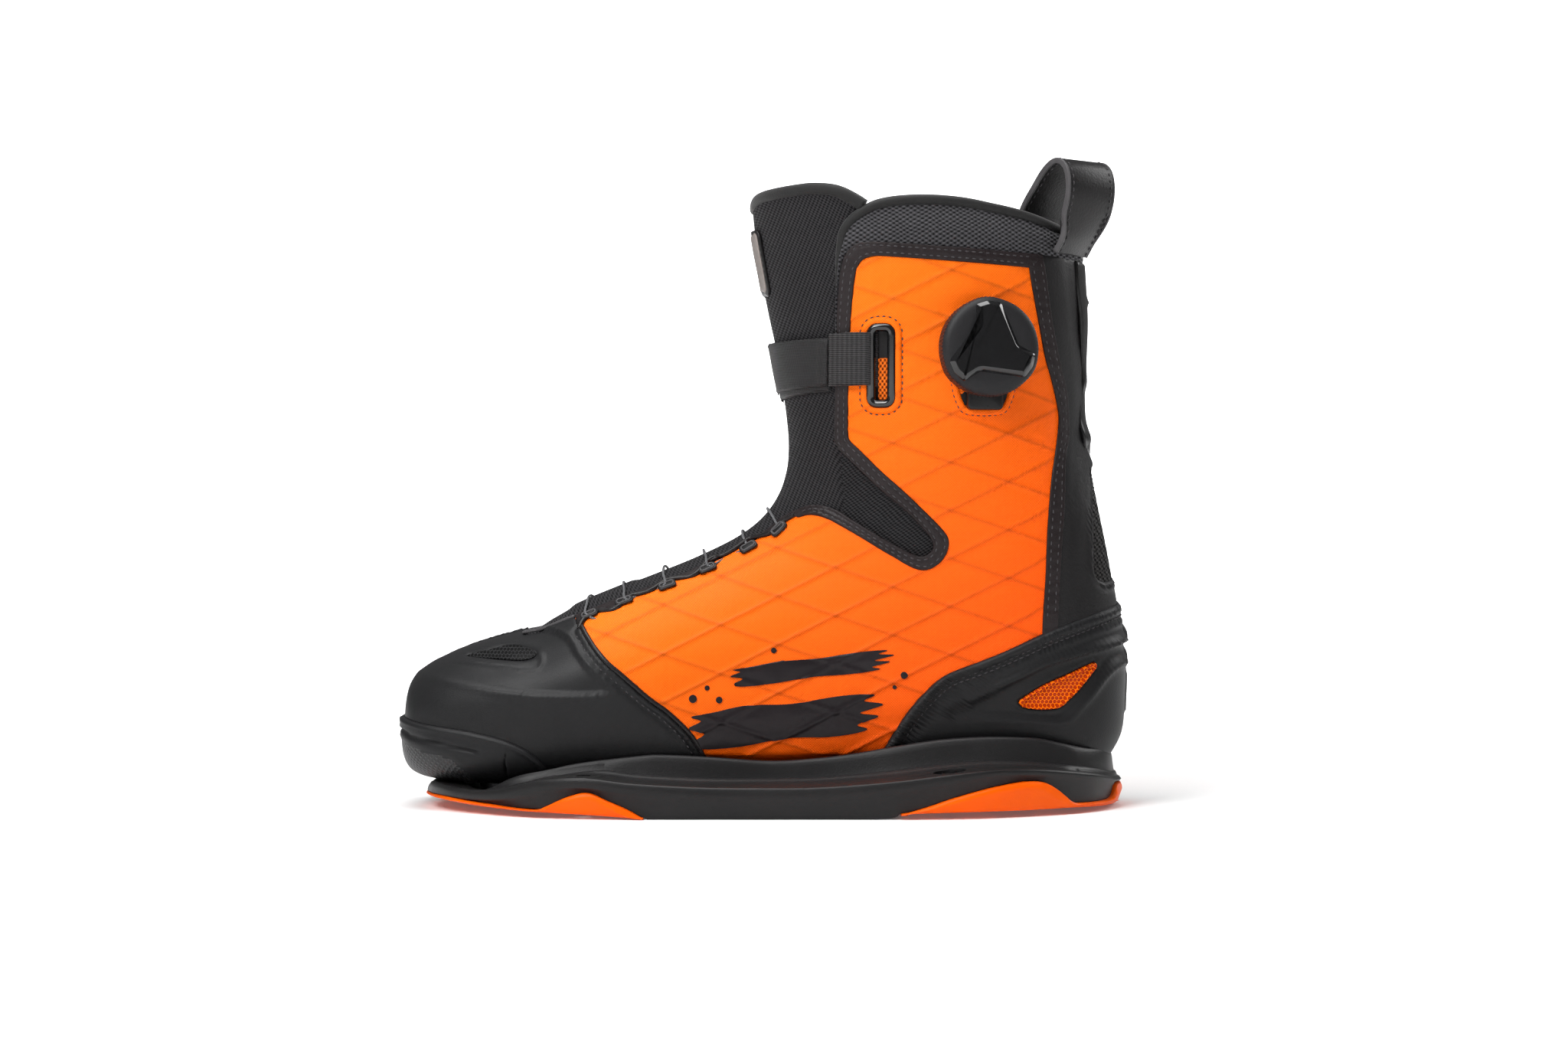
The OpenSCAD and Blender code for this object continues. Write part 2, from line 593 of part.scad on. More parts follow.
LINER_SPLIT = [[-170, 3], [170, 3], [170, 128], [-170, 128]];
module liner() {
    difference() {
        layer(LINER_IN, LINER_OUT);
        tongue_gap(0.03);
    }
}
module liner_foot() {
    color("#2b2b2e") sewn() intersection() {
        liner();
        across(LINER_SPLIT);
    }
}
module liner_cuff() {
    color("#2b2b2e") sewn() intersection() {
        liner();
        across(concat([[-20, 128.1], [170, 128.1]], flip(shift_z(CUFF_TOP, -0.3)), [[-20, 236]]));
    }
}
module collar_pad() {
    color("#0f0f11") sewn() difference() {
        intersection() {
            layer(LINER_IN, 0.1);
            across(concat(shift_z(CUFF_TOP, 0.1), flip(COLLAR_TOP)));
        }
        tongue_gap(0.012);
    }
}
module collar_binding() {
    color("#19191b") sewn() difference() {
        intersection() {
            layer(LINER_IN - 0.4, 0.4);
            across(concat(shift_z(COLLAR_TOP, 0.1), flip(shift_z(COLLAR_TOP, COLLAR_BIND))));
        }
        tongue_gap(0.012);
    }
}

// Pull loop: a flat band in an upright plane that stands on the rear outer corner of the cuff
LOOP_FOOT = [128.4, -27];
LOOP_TURN = -31;
LOOP_WIDTH = 29;
LOOP_T = 2.4;
LOOP_ROUTE = [[1.2, 237], [4.2, 242], [7.6, 248], [10.8, 254.5], [12.6, 261], [12.8, 267],
    [11.2, 272.4], [7.9, 275.3], [3.9, 275], [-1.1, 271.5], [-6.6, 265], [-12, 258],
    [-15.6, 250.5], [-17, 243], [-16.8, 238.5]];
module pull_loop() {
    n = len(LOOP_ROUTE) - 1;
    side = [for (i = [0 : n]) let (v = LOOP_ROUTE[min(i + 1, n)] - LOOP_ROUTE[max(i - 1, 0)])
        [-v[1], v[0]] / norm(v) * LOOP_T / 2];
    band = concat([for (i = [0 : n]) LOOP_ROUTE[i] + side[i]],
        [for (i = [n : -1 : 0]) LOOP_ROUTE[i] - side[i]]);
    color("#101012") translate([LOOP_FOOT[0], LOOP_FOOT[1], 0]) rotate([0, 0, LOOP_TURN])
        translate([0, LOOP_WIDTH / 2, 0]) rotate([90, 0, 0]) linear_extrude(LOOP_WIDTH) polygon(band);
}

// ---- Ankle strap ----

STRAP_Z0 = 177;
STRAP_Z1 = 199;
module strap_band() {
    color("#1d1d1f") sewn() intersection() {
        layer(0.95, 2.1);
        across([[-30, STRAP_Z0 - 2], [27.5, STRAP_Z0 - 1], [27.5, STRAP_Z1], [-30, STRAP_Z1 - 2]]);
    }
}
module strap_tail() {
    color("#222225") sewn() intersection() {
        layer(2.45, 3.6);
        across([[-30, STRAP_Z0], [27.5, STRAP_Z0 + 1.5], [27.5, STRAP_Z1 + 1], [-30, STRAP_Z1 - 1]]);
        translate([-40, -100, 0]) cube([200, 122, 300]);
    }
}

// Rounded slot ring, grown by extra
module ring_outline(extra = 0) {
    translate(RING_AT) offset(r = 4 + extra, $fn = 24) square([4.5, 28], center = true);
}
module strap_webbing() {
    color("#2a2a2d") sewn() {
        intersection() {
            layer(2.75, 3.9);
            across([[28, 178.5], [46.3, 179], [46.3, 200.5], [28, 200]]);
        }
        intersection() {
            layer(-3.3, 3);
            across([[45.1, 179], [46.3, 179], [46.3, 200.5], [45.1, 200.5]]);
        }
    }
}
module strap_rings() {
    color("#0c0c0e") sewn() intersection() {
        layer(-3.3, 2.5);
        across_2d() difference() {
            ring_outline(-0.4);
            translate(RING_AT) offset(r = 1.5, $fn = 16) square([4.6, 28], center = true);
        }
    }
}

// ---- Lacing dial ----

// The dial's own frame: its axis is +Z, its foot lies on the shell
module dial_place() {
    translate(skin(DIAL_U, DIAL_T, 0)) rotate([0, 0, dial_tilt]) rotate([90, 0, 0]) children();
}
function dial_point(p) = skin(DIAL_U, DIAL_T, 0) + [p[0] * cos(dial_tilt) + p[2] * sin(dial_tilt),
    p[0] * sin(dial_tilt) - p[2] * cos(dial_tilt), p[1]];

KNOB_TOP = 16.4;
SPOOL_R = 11.6;
module dial_base() {
    color("#151517") dial_place() difference() {
        union() {
            translate([0, 0, -1.5]) cylinder(r = 17.4, h = 7.9, $fn = 96);
            translate([-8, -25, 0.5]) cube([16, 12, 3.4]);
        }
        translate([0, 0, 0.3]) difference() {
            cylinder(r = 12.4, h = 12, $fn = 96);
            translate([0, 0, -1]) cylinder(r = 3, h = 7.4, $fn = 64);
        }
        translate([0, 0, 1.5]) cylinder(r = 1.6, h = 12, $fn = 48);
        translate([-1.4, -30, 2.1]) cube([2.8, 20, 1.4]);
    }
}
module dial_spool() {
    color("#55565a") dial_place() translate([0, 0, 0.7]) rotate_extrude($fn = 96)
        polygon([[3.3, 0], [SPOOL_R, 0], [SPOOL_R, 1], [8, 1.4], [8, 3], [SPOOL_R, 3.4],
            [SPOOL_R, 4.4], [3.3, 4.4]]);
}
module dial_washer() {
    color("#8d9096") dial_place() translate([0, 0, 7.1]) difference() {
        cylinder(r = 6.5, h = 0.8, $fn = 64);
        translate([0, 0, -1]) cylinder(r = 3.3, h = 3, $fn = 48);
    }
}
module tri_lobe(grow = 0) {
    for (a = [95, 215, 335]) rotate(a) translate([8.6, 0])
        offset(r = 1.6 + grow, $fn = 24) square([14.6, 7.4], center = true);
    circle(r = 9.5 + grow, $fn = 48);
}
module dial_knob() {
    color("#1f1f22") dial_place() difference() {
        union() {
            translate([0, 0, 4.2]) cylinder(d = knob_d, h = 10.2, $fn = 96);
            translate([0, 0, 14.4]) cylinder(d = knob_d - 3, h = 1.4, $fn = 96);
        }
        translate([0, 0, 0]) cylinder(r = 17.8, h = 6.7, $fn = 96);
        cylinder(r = 2.2, h = 30, $fn = 48);
        translate([0, 0, 3]) cylinder(r = 8, h = 5.1, $fn = 64);
        translate([0, 0, 9]) cylinder(r = 5.4, h = 10, $fn = 64);
        for (a = [0 : 15 : 345]) rotate([0, 0, a]) translate([knob_d / 2 + 0.6, 0, 3])
            cylinder(r = 1.3, h = 20, $fn = 24);
        translate([0, 0, 13.9]) cylinder(r = 17.6, h = 5, $fn = 96);
    }
}
module dial_cap() {
    color("#050506") dial_place() translate([0, 0, 13.95]) linear_extrude(KNOB_TOP - 13.95)
        tri_lobe(-1.2);
}
module dial_screw() {
    color("#b9bcc0") dial_place() {
        translate([0, 0, 2]) cylinder(r = 1.5, h = 10.4, $fn = 48);
        translate([0, 0, 9.3 + pull]) cylinder(r = 3.6, h = 1.3, $fn = 48);
    }
}
base_frame();
front_grip_pad();
rear_grip_pad();
outsole();
frame_screws();
tee_nuts();
lasting_board();
footbed();
toe_cap();
toe_bumper();
toe_vents();
quarter_outer();
quarter_inner();
back_panel();
achilles_gusset();
back_stay();
heel_counter();
heel_vents();
ankle_gussets();
trim_outer();
trim_inner();
rear_trims();
lace_facings();
lace_guides();
lace();
tongue();
tongue_binding();
tongue_badge();
liner_foot();
liner_cuff();
collar_pad();
collar_binding();
pull_loop();
strap_band();
strap_tail();
strap_webbing();
strap_rings();
dial_base();
dial_spool();
dial_washer();
dial_knob();
dial_cap();
dial_screw();
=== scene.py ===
"""Looks of the wakeboard boot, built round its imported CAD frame.

Lengths are millimetres until a mesh is made. A point of the upper is named by u, which section of the
boot it is on, and t, its place round that section: 0 at the front or top, -1 and 1 at the back or bottom,
negative on the outer side. Past 1 it goes on round the back to 2, the front again. Side outlines are
x, z points seen square from the side.
"""
import math

import bmesh
import bpy
import numpy as np
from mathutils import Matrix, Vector, kdtree
from mathutils.bvhtree import BVHTree
from mathutils.geometry import delaunay_2d_cdt


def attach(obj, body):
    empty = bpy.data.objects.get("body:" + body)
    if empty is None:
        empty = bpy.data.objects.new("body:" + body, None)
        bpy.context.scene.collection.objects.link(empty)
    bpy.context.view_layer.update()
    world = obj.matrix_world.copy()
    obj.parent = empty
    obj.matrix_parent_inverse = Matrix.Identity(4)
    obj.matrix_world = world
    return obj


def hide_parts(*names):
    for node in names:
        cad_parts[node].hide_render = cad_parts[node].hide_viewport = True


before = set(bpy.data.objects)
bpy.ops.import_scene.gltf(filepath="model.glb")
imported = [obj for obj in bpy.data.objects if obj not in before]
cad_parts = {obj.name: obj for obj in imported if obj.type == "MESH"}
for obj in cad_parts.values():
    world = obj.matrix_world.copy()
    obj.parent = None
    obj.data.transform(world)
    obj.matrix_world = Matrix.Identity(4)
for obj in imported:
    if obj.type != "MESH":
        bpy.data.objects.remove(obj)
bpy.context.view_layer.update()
MM = 0.001
OUTER, INNER = -1, 1

# ---- Camera ----

camera = bpy.data.objects.new("camera", bpy.data.cameras.new("camera"))
bpy.context.scene.collection.objects.link(camera)
camera.location = (0.0073, -1.4, 0.1223)
camera.rotation_euler = (math.pi / 2, 0, 0)
camera.data.lens = 73.8
camera.data.sensor_width = 36
bpy.context.scene.camera = camera

# ---- The boot's skin ----

# Front or top point x, z; back or bottom point x, z; half width; roundness of the front half and of
# the back half; sideways shift
SECTIONS = np.array([
    [-156.8, 43, -156.8, 33, 5, 2.2, 2.2, 7],
    [-156.2, 49, -156.6, 25, 17, 2.2, 2.4, 7],
    [-153.8, 55, -155, 19, 27, 2.2, 2.8, 6.5],
    [-148.5, 60, -151, 15.5, 34.5, 2.2, 3.2, 6],
    [-139.5, 65, -142.5, 13.5, 41, 2.2, 3.6, 5],
    [-126, 70.5, -128, 12.5, 46, 2.2, 4, 4],
    [-111, 75, -110, 12, 49.5, 2.2, 4, 3],
    [-97, 79, -90, 12, 51.5, 2.2, 4, 2],
    [-82, 87, -68, 12, 52.5, 2.2, 4, 1],
    [-64, 94.5, -46, 12, 52, 2.2, 4, 0],
    [-46, 101.5, -23, 12, 50, 2.2, 4, 0],
    [-29, 108.5, 0, 12, 47, 2.2, 4, 0],
    [-13, 116.5, 26, 12, 44, 2.2, 3.8, 0],
    [-2, 125, 54, 12, 42, 2.2, 3.6, 0],
    [5, 135, 84, 12, 42, 2.2, 3.4, 0],
    [8.3, 145, 114, 12.5, 43, 2.3, 3.2, 0],
    [9.2, 153, 139, 16, 44, 2.3, 2.8, 0],
    [9.2, 160.5, 151, 30, 45, 2.3, 2.5, 0],
    [8.5, 168, 154, 50, 46, 2.3, 2.4, 0],
    [7.3, 176, 153.5, 75, 47, 2.3, 2.35, 0],
    [5.5, 186, 149, 105, 48, 2.3, 2.35, 0],
    [3.5, 198, 142.5, 138, 49, 2.3, 2.35, 0],
    [0.8, 212, 138, 168, 50, 2.3, 2.35, 0],
    [-2, 228, 137.5, 198, 51, 2.3, 2.35, 0],
    [-5, 244, 137.5, 222, 51.5, 2.3, 2.35, 0],
    [-7, 260, 135, 243, 51.5, 2.3, 2.35, 0],
    [-8, 272, 131, 258, 51.5, 2.3, 2.35, 0]])
LAST = len(SECTIONS) - 1
# Half width of the gap in the upper that the tongue fills, at each u
TONGUE_GAP = np.array([[6.5, 0.1], [8, 0.16], [10.5, 0.15], [12, 0.13], [13.5, 0.15], [14.6, 0.2],
                       [15.5, 0.24], [18.4, 0.26], [22, 0.31], [24.6, 0.37], [26, 0.41]])


def section(u):
    u = np.clip(np.asarray(u, float), 0, LAST - 1e-4)
    i = u.astype(int)
    f = (u - i)[..., None]
    a, b, c, d = (SECTIONS[np.clip(i + k, 0, LAST)] for k in (-1, 0, 1, 2))
    return 0.5 * (2 * b + (c - a) * f + (2 * a - 5 * b + 4 * c - d) * f**2 + (3 * b - a - 3 * c + d) * f**3)


def skin(u, t, out=0.0):
    """Points of the boot, out millimetres off the shell."""
    u, t, out = np.broadcast_arrays(np.asarray(u, float), np.asarray(t, float), np.asarray(out, float))
    s = section(u)
    c, sn = np.cos(np.pi * t), np.sin(np.pi * t)
    n = np.where(c > 0, s[..., 5], s[..., 6])
    across = s[..., 0:2] - s[..., 2:4]
    length = np.linalg.norm(across, axis=-1)
    half = length / 2
    h = np.maximum(half + out, 0.3 * half)
    w = np.maximum(s[..., 4] + out, 0.3 * s[..., 4])
    e = across / length[..., None]
    tip = np.clip(1 - u / 5, 0, 1) ** 1.5
    along = h * np.sign(c) * np.abs(c) ** (2 / n)
    side = w * np.abs(sn) ** (2 / n)
    mid = (s[..., 0:2] + s[..., 2:4]) / 2
    return np.stack([mid[..., 0] + e[..., 0] * along - out * tip, s[..., 7] + np.sign(sn) * side,
                     mid[..., 1] + e[..., 1] * along], -1)


def unit(v):
    return v / np.maximum(np.linalg.norm(v, axis=-1, keepdims=True), 1e-9)


def normal(u, t, out=0.0):
    """Outward unit normals of the skin."""
    u, t = np.broadcast_arrays(np.asarray(u, float), np.asarray(t, float))
    u = np.clip(u, 0.02, LAST - 0.03)
    a = skin(u + 0.02, t, out) - skin(u - 0.02, t, out)
    b = skin(u, t + 0.004, out) - skin(u, t - 0.004, out)
    n = unit(np.cross(a, b))
    outward = skin(u, t, out + 1.0) - skin(u, t, out)
    return n * np.sign(np.sum(n * outward, -1, keepdims=True) + 1e-12)


def tree_of(points):
    tree = kdtree.KDTree(len(points))
    for i, p in enumerate(points):
        tree.insert(p, i)
    tree.balance()
    return tree


GRID_U, GRID_T = (a.ravel() for a in np.meshgrid(np.linspace(0, LAST, 209), np.linspace(0.001, 0.999, 161)))
GRID_POINTS = skin(GRID_U, -GRID_T)
GRID_TREE = tree_of(np.c_[GRID_POINTS[:, 0], 0 * GRID_U, GRID_POINTS[:, 2]])


def on_side(points):
    """u and |t| of side points x, z, by Newton's method from the nearest grid point."""
    xz = np.asarray(points, float).reshape(-1, 2)
    near = [GRID_TREE.find((x, 0, z))[1] for x, z in xz]
    u, t = GRID_U[near].copy(), GRID_T[near].copy()
    for _ in range(8):
        p = skin(u, -t)[:, ::2]
        du = (skin(u + 1e-3, -t)[:, ::2] - p) / 1e-3
        dt = (skin(u, -t - 1e-4)[:, ::2] - p) / 1e-4
        det = du[:, 0] * dt[:, 1] - du[:, 1] * dt[:, 0]
        det = np.where(np.abs(det) < 1e-3, 1e-3, det)
        r = xz - p
        step_u = (r[:, 0] * dt[:, 1] - r[:, 1] * dt[:, 0]) / det
        step_t = (du[:, 0] * r[:, 1] - du[:, 1] * r[:, 0]) / det
        u = np.clip(u + np.clip(step_u, -0.3, 0.3), 0, LAST - 0.01)
        t = np.clip(t + np.clip(step_t, -0.03, 0.03), 0.0005, 0.9995)
    return np.c_[u, t]


def smooth(points, step=1.0, closed=False):
    """A dense line on a smooth curve through the points."""
    p = np.asarray(points, float)
    if closed:
        p = np.r_[p[-1:], p, p[:2]]
    else:
        p = np.r_[2 * p[:1] - p[1:2], p, 2 * p[-1:] - p[-2:-1]]
    made = []
    for a, b, c, d in zip(p[:-3], p[1:-2], p[2:-1], p[3:]):
        n = max(1, int(math.ceil(np.linalg.norm(c - b) / step)))
        f = np.arange(n)[:, None] / n
        made.append(0.5 * (2 * b + (c - a) * f + (2 * a - 5 * b + 4 * c - d) * f**2 + (3 * b - a - 3 * c + d)
                           * f**3))
    return np.vstack(made) if closed else np.vstack(made + [p[-2:-1]])


def even(points, step, closed=False):
    """The same line with evenly spaced points."""
    p = np.vstack([points, points[:1]]) if closed else np.asarray(points, float)
    run = np.r_[0, np.cumsum(np.linalg.norm(np.diff(p, axis=0), axis=1))]
    n = max(2, int(round(run[-1] / step)) + 1)
    at = np.linspace(0, run[-1], n)
    return np.stack([np.interp(at, run, p[:, k]) for k in range(p.shape[1])], 1)[:-1 if closed else None]


def curve(x, table):
    """Height at x on a smooth curve through a table of x, z points."""
    line = smooth(table, 0.5)
    return np.interp(x, line[:, 0], line[:, 1])


def smoothstep(a, b, x):
    f = np.clip((x - a) / (b - a), 0, 1)
    return f * f * (3 - 2 * f)


def bell(d, width):
    return np.exp(-(d / width) ** 2)


def rolled(d, r):
    """Height lost at distance d from an edge that is rounded over with radius r."""
    return -r * (1 - np.sqrt(np.clip(1 - (1 - np.clip(d / r, 0, 1)) ** 2, 0, 1)))


def inside(points, outline):
    """Even-odd test of 2D points against a closed outline."""
    x, y = points[:, 0], points[:, 1]
    hit = np.zeros(len(points), bool)
    for (ax, ay), (bx, by) in zip(outline, np.roll(outline, -1, 0)):
        if ay != by:
            hit ^= ((ay > y) != (by > y)) & (x < (bx - ax) * (y - ay) / (by - ay) + ax)
    return hit


# Arc length round each section, so that a panel can be meshed evenly
ARC_ROWS, ARC_COLUMNS = 260, 2400
ARC_U = np.linspace(0, LAST, ARC_ROWS + 1)
ARC_T = np.linspace(-2, 2, ARC_COLUMNS + 1)
ARC_P = skin(ARC_U[:, None], ARC_T[None, :])
ARC = np.concatenate([np.zeros((len(ARC_U), 1)),
                      np.cumsum(np.linalg.norm(np.diff(ARC_P, axis=1), axis=2), 1)], 1)
ARC -= ARC[:, ARC_COLUMNS // 2, None]
# Millimetres of skin in a step of 1 in u, and what such a step counts for in the plane
SPREAD = np.linalg.norm(np.gradient(ARC_P, ARC_U, axis=0), axis=2)
FLAT_U = 12.0


def arc_row(u):
    return np.asarray(u) / LAST * ARC_ROWS


def arc_column(t):
    return (np.asarray(t) + 2) * ARC_COLUMNS / 4


def flat(u, t):
    """Places of u, t in the plane in which panels are meshed."""
    iu = np.clip(arc_row(u), 0, ARC_ROWS - 0.001)
    it = np.clip(arc_column(t), 0, ARC_COLUMNS - 0.001)
    i, j = iu.astype(int), it.astype(int)
    fu, ft = iu - i, it - j
    arc = (ARC[i, j] * (1 - ft) + ARC[i, j + 1] * ft) * (1 - fu) + (ARC[i + 1, j] * (1 - ft)
                                                                    + ARC[i + 1, j + 1] * ft) * fu
    return np.c_[FLAT_U * np.asarray(u), arc]


def t_at(u, arc):
    """Place t at an arc length round section u."""
    i = int(min(arc_row(u), ARC_ROWS - 1))
    f = arc_row(u) - i
    return np.interp(arc, ARC[i] * (1 - f) + ARC[i + 1] * f, ARC_T)


# ---- Meshes ----

def finish_object(o, material, body="boot", replaces=(), slot=None):
    o.data.materials.append(material)
    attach(o, body)
    if replaces:
        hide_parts(*replaces)
    return o


def mesh_object(name, points, faces, material, uv=None, **place):
    """An object from points in millimetres; uv is one pair of millimetres for each point."""
    mesh = bpy.data.meshes.new(name)
    mesh.from_pydata((np.asarray(points) * MM).tolist(), [], faces)
    mesh.polygons.foreach_set("use_smooth", [True] * len(mesh.polygons))
    if uv is None:
        uv = np.asarray(points)[:, ::2]
    layer = mesh.uv_layers.new(name="flat")
    corner = np.zeros(len(mesh.loops), int)
    mesh.loops.foreach_get("vertex_index", corner)
    layer.data.foreach_set("uv", (np.asarray(uv)[corner] * MM).ravel())
    mesh.update()
    o = bpy.data.objects.new(name, mesh)
    bpy.context.scene.collection.objects.link(o)
    return finish_object(o, material, **place)


def turn_out(o):
    """Makes the faces of a closed mesh look outward."""
    work = bmesh.new()
    work.from_mesh(o.data)
    bmesh.ops.recalc_face_normals(work, faces=work.faces)
    work.to_mesh(o.data)
    work.free()


class Spots:
    """The points of a panel, as its height function sees them."""

    def __init__(self, u, t, edge):
        self.u, self.t = u, t
        self.p = skin(u, -np.abs((t + 1) % 2 - 1))       # on the outer side, where features are drawn
        self.true = skin(u, t)
        self.x, self.y, self.z = self.p.T
        tree = tree_of(edge)
        self.d = np.array([tree.find(p)[2] for p in self.true])

    def to(self, line):
        """Distance to a line of 3D points."""
        tree = tree_of(line)
        return np.array([tree.find(p)[2] for p in self.p])

    def within(self, line, outline):
        """Distance to the line, positive inside the outline."""
        d = self.to(line)
        return np.where(inside(self.p[:, ::2], np.asarray(outline)), d, -d)


def drawn(points, closed=False, step=0.7, out=0.0):
    """3D line on the outer side through side points."""
    ut = on_side(even(smooth(points, step, closed), step, closed))
    return skin(ut[:, 0], -ut[:, 1], out)


def side_line(points, side=OUTER, step=0.8, closed=False):
    """u, t line through side points."""
    ut = on_side(even(smooth(points, step, closed), step, closed))
    return np.c_[ut[:, 0], side * ut[:, 1]]


def corners(points, side=OUTER, step=0.8, closed=False):
    """u, t line along straight stretches between side points."""
    ut = on_side(even(np.asarray(points, float), step, closed))
    return np.c_[ut[:, 0], side * ut[:, 1]]


def beside(points, by, step=1.0, closed=False):
    """Side outline moved to the left of its direction of travel by some millimetres."""
    p = even(smooth(points, step, closed), step, closed)
    d = unit(np.roll(p, -1, 0) - np.roll(p, 1, 0) if closed else np.gradient(p, axis=0))
    return p + by * np.c_[-d[:, 1], d[:, 0]]


def fine_line(points, side=OUTER):
    """u, t line through a dense side outline."""
    ut = on_side(points)
    return np.c_[ut[:, 0], side * ut[:, 1]]


def round_back(half):
    """An inner line that ends at the back, and its mirror image on the outer side."""
    return np.vstack([half, np.c_[half[:, 0], 2 - half[:, 1]][::-1]])


def pull_in(line, by):
    """Points of a u, t line moved sideways over the skin by a distance in millimetres."""
    p = skin(line[:, 0], line[:, 1])
    n = normal(line[:, 0], line[:, 1])
    along = unit(np.roll(p, -1, 0) - np.roll(p, 1, 0))
    return p + np.cross(n, along) * by


def covered(points, flats):
    """Which flat points lie inside the outline and outside its holes."""
    ok = inside(points, flats[0])
    for hole in flats[1:]:
        ok &= ~inside(points, hole)
    return ok


# Small steps of u and t, by which the skin's slopes are taken
STEP_U, STEP_T = 0.01, 0.001


def moved(loop, by):
    """u, t points of a loop moved sideways over the skin, without those that land far off."""
    start = skin(loop[:, 0], loop[:, 1])
    du = skin(np.clip(loop[:, 0] + STEP_U, 0, LAST), loop[:, 1]) - start
    dt = skin(loop[:, 0], loop[:, 1] + STEP_T) - start
    m = pull_in(loop, by) - start
    a11, a12, a22 = (du * du).sum(1), (du * dt).sum(1), (dt * dt).sum(1)
    b1, b2 = (du * m).sum(1), (dt * m).sum(1)
    det = np.maximum(a11 * a22 - a12 * a12, 1e-12)
    su, st = STEP_U * (b1 * a22 - b2 * a12) / det, STEP_T * (a11 * b2 - a12 * b1) / det
    ring = np.c_[loop[:, 0] + su, loop[:, 1] + st]
    return ring[(np.abs(su) < 0.5) & (np.abs(st) < 0.1) & (ring[:, 0] > 0) & (ring[:, 0] < LAST)]


def without_repeats(loop):
    """The loop without points that lie on the one before."""
    p = skin(loop[:, 0], loop[:, 1])
    run = np.r_[0, np.cumsum(np.linalg.norm(np.diff(np.vstack([p, p[:1]]), axis=0), axis=1))]
    return loop[np.r_[True, np.diff(run[:-1]) > 1e-3]]


def staggered_rows(outline, step):
    """u, t points in even rows over the stretch of skin that an outline spans."""
    low, high = outline.min(0), outline.max(0)
    columns = slice(int(arc_column(low[1])), int(arc_column(high[1])) + 1)
    rows, u = [], low[0]
    while u < high[0]:
        u += step / max(np.percentile(SPREAD[int(arc_row(u)), columns], 85), 1.0)
        rows.append(u)
    made = []
    for k, u in enumerate(rows[:-1]):
        lo, hi = flat(np.array([u, u]), np.array([low[1], high[1]]))[:, 1]
        arcs = np.arange(lo + step * (0.5 if k % 2 else 0.25), hi, step)
        made.append(np.c_[np.full(len(arcs), u), t_at(u, arcs)])
    return np.vstack(made)


def edge_rings(loops, flats, tree, rim):
    """u, t points beside each loop, at three distances from it, which carry the bend of a panel's rim."""
    rings = []
    for at in (0.15 * rim, 0.5 * rim, rim):
        for loop in loops:
            for ring in (moved(loop, -at), moved(loop, at)):
                good = covered(flat(ring[:, 0], ring[:, 1]), flats)
                d = np.array([tree.find(q)[2] for q in skin(ring[:, 0], ring[:, 1])])
                rings.append(ring[good & (d > 0.9 * at)])
    return rings


def triangles(ut, loops, flats):
    """Triangles of u, t points with the loops as edges, and the points that they use."""
    edges, start = [], 0
    for loop in loops:
        n = len(loop)
        edges += [(start + i, start + (i + 1) % n) for i in range(n)]
        start += n
    plane = [Vector(p) for p in flat(ut[:, 0], ut[:, 1])]
    verts, _, faces, orig, _, _ = delaunay_2d_cdt(plane, edges, [], 0, 1e-5)
    new = np.array([[v.x, v.y] for v in verts])
    source = np.array([o[0] if o else -1 for o in orig])
    made = np.zeros((len(new), 2))
    made[source >= 0] = ut[source[source >= 0]]
    for i in np.nonzero(source < 0)[0]:
        made[i] = (new[i, 0] / FLAT_U, t_at(new[i, 0] / FLAT_U, new[i, 1]))
    tri = np.array([f for f in faces if len(f) == 3])
    tri = tri[covered(new[tri].mean(1), flats)]
    used = np.unique(tri)
    renumber = -np.ones(len(made), int)
    renumber[used] = np.arange(len(used))
    return renumber[tri], made[used]


def border_of(tri):
    """Edges that only one triangle has."""
    edges = dict.fromkeys(e for a, b, c in tri for e in ((a, b), (b, c), (c, a)))
    return [e for e in edges if e[::-1] not in edges]


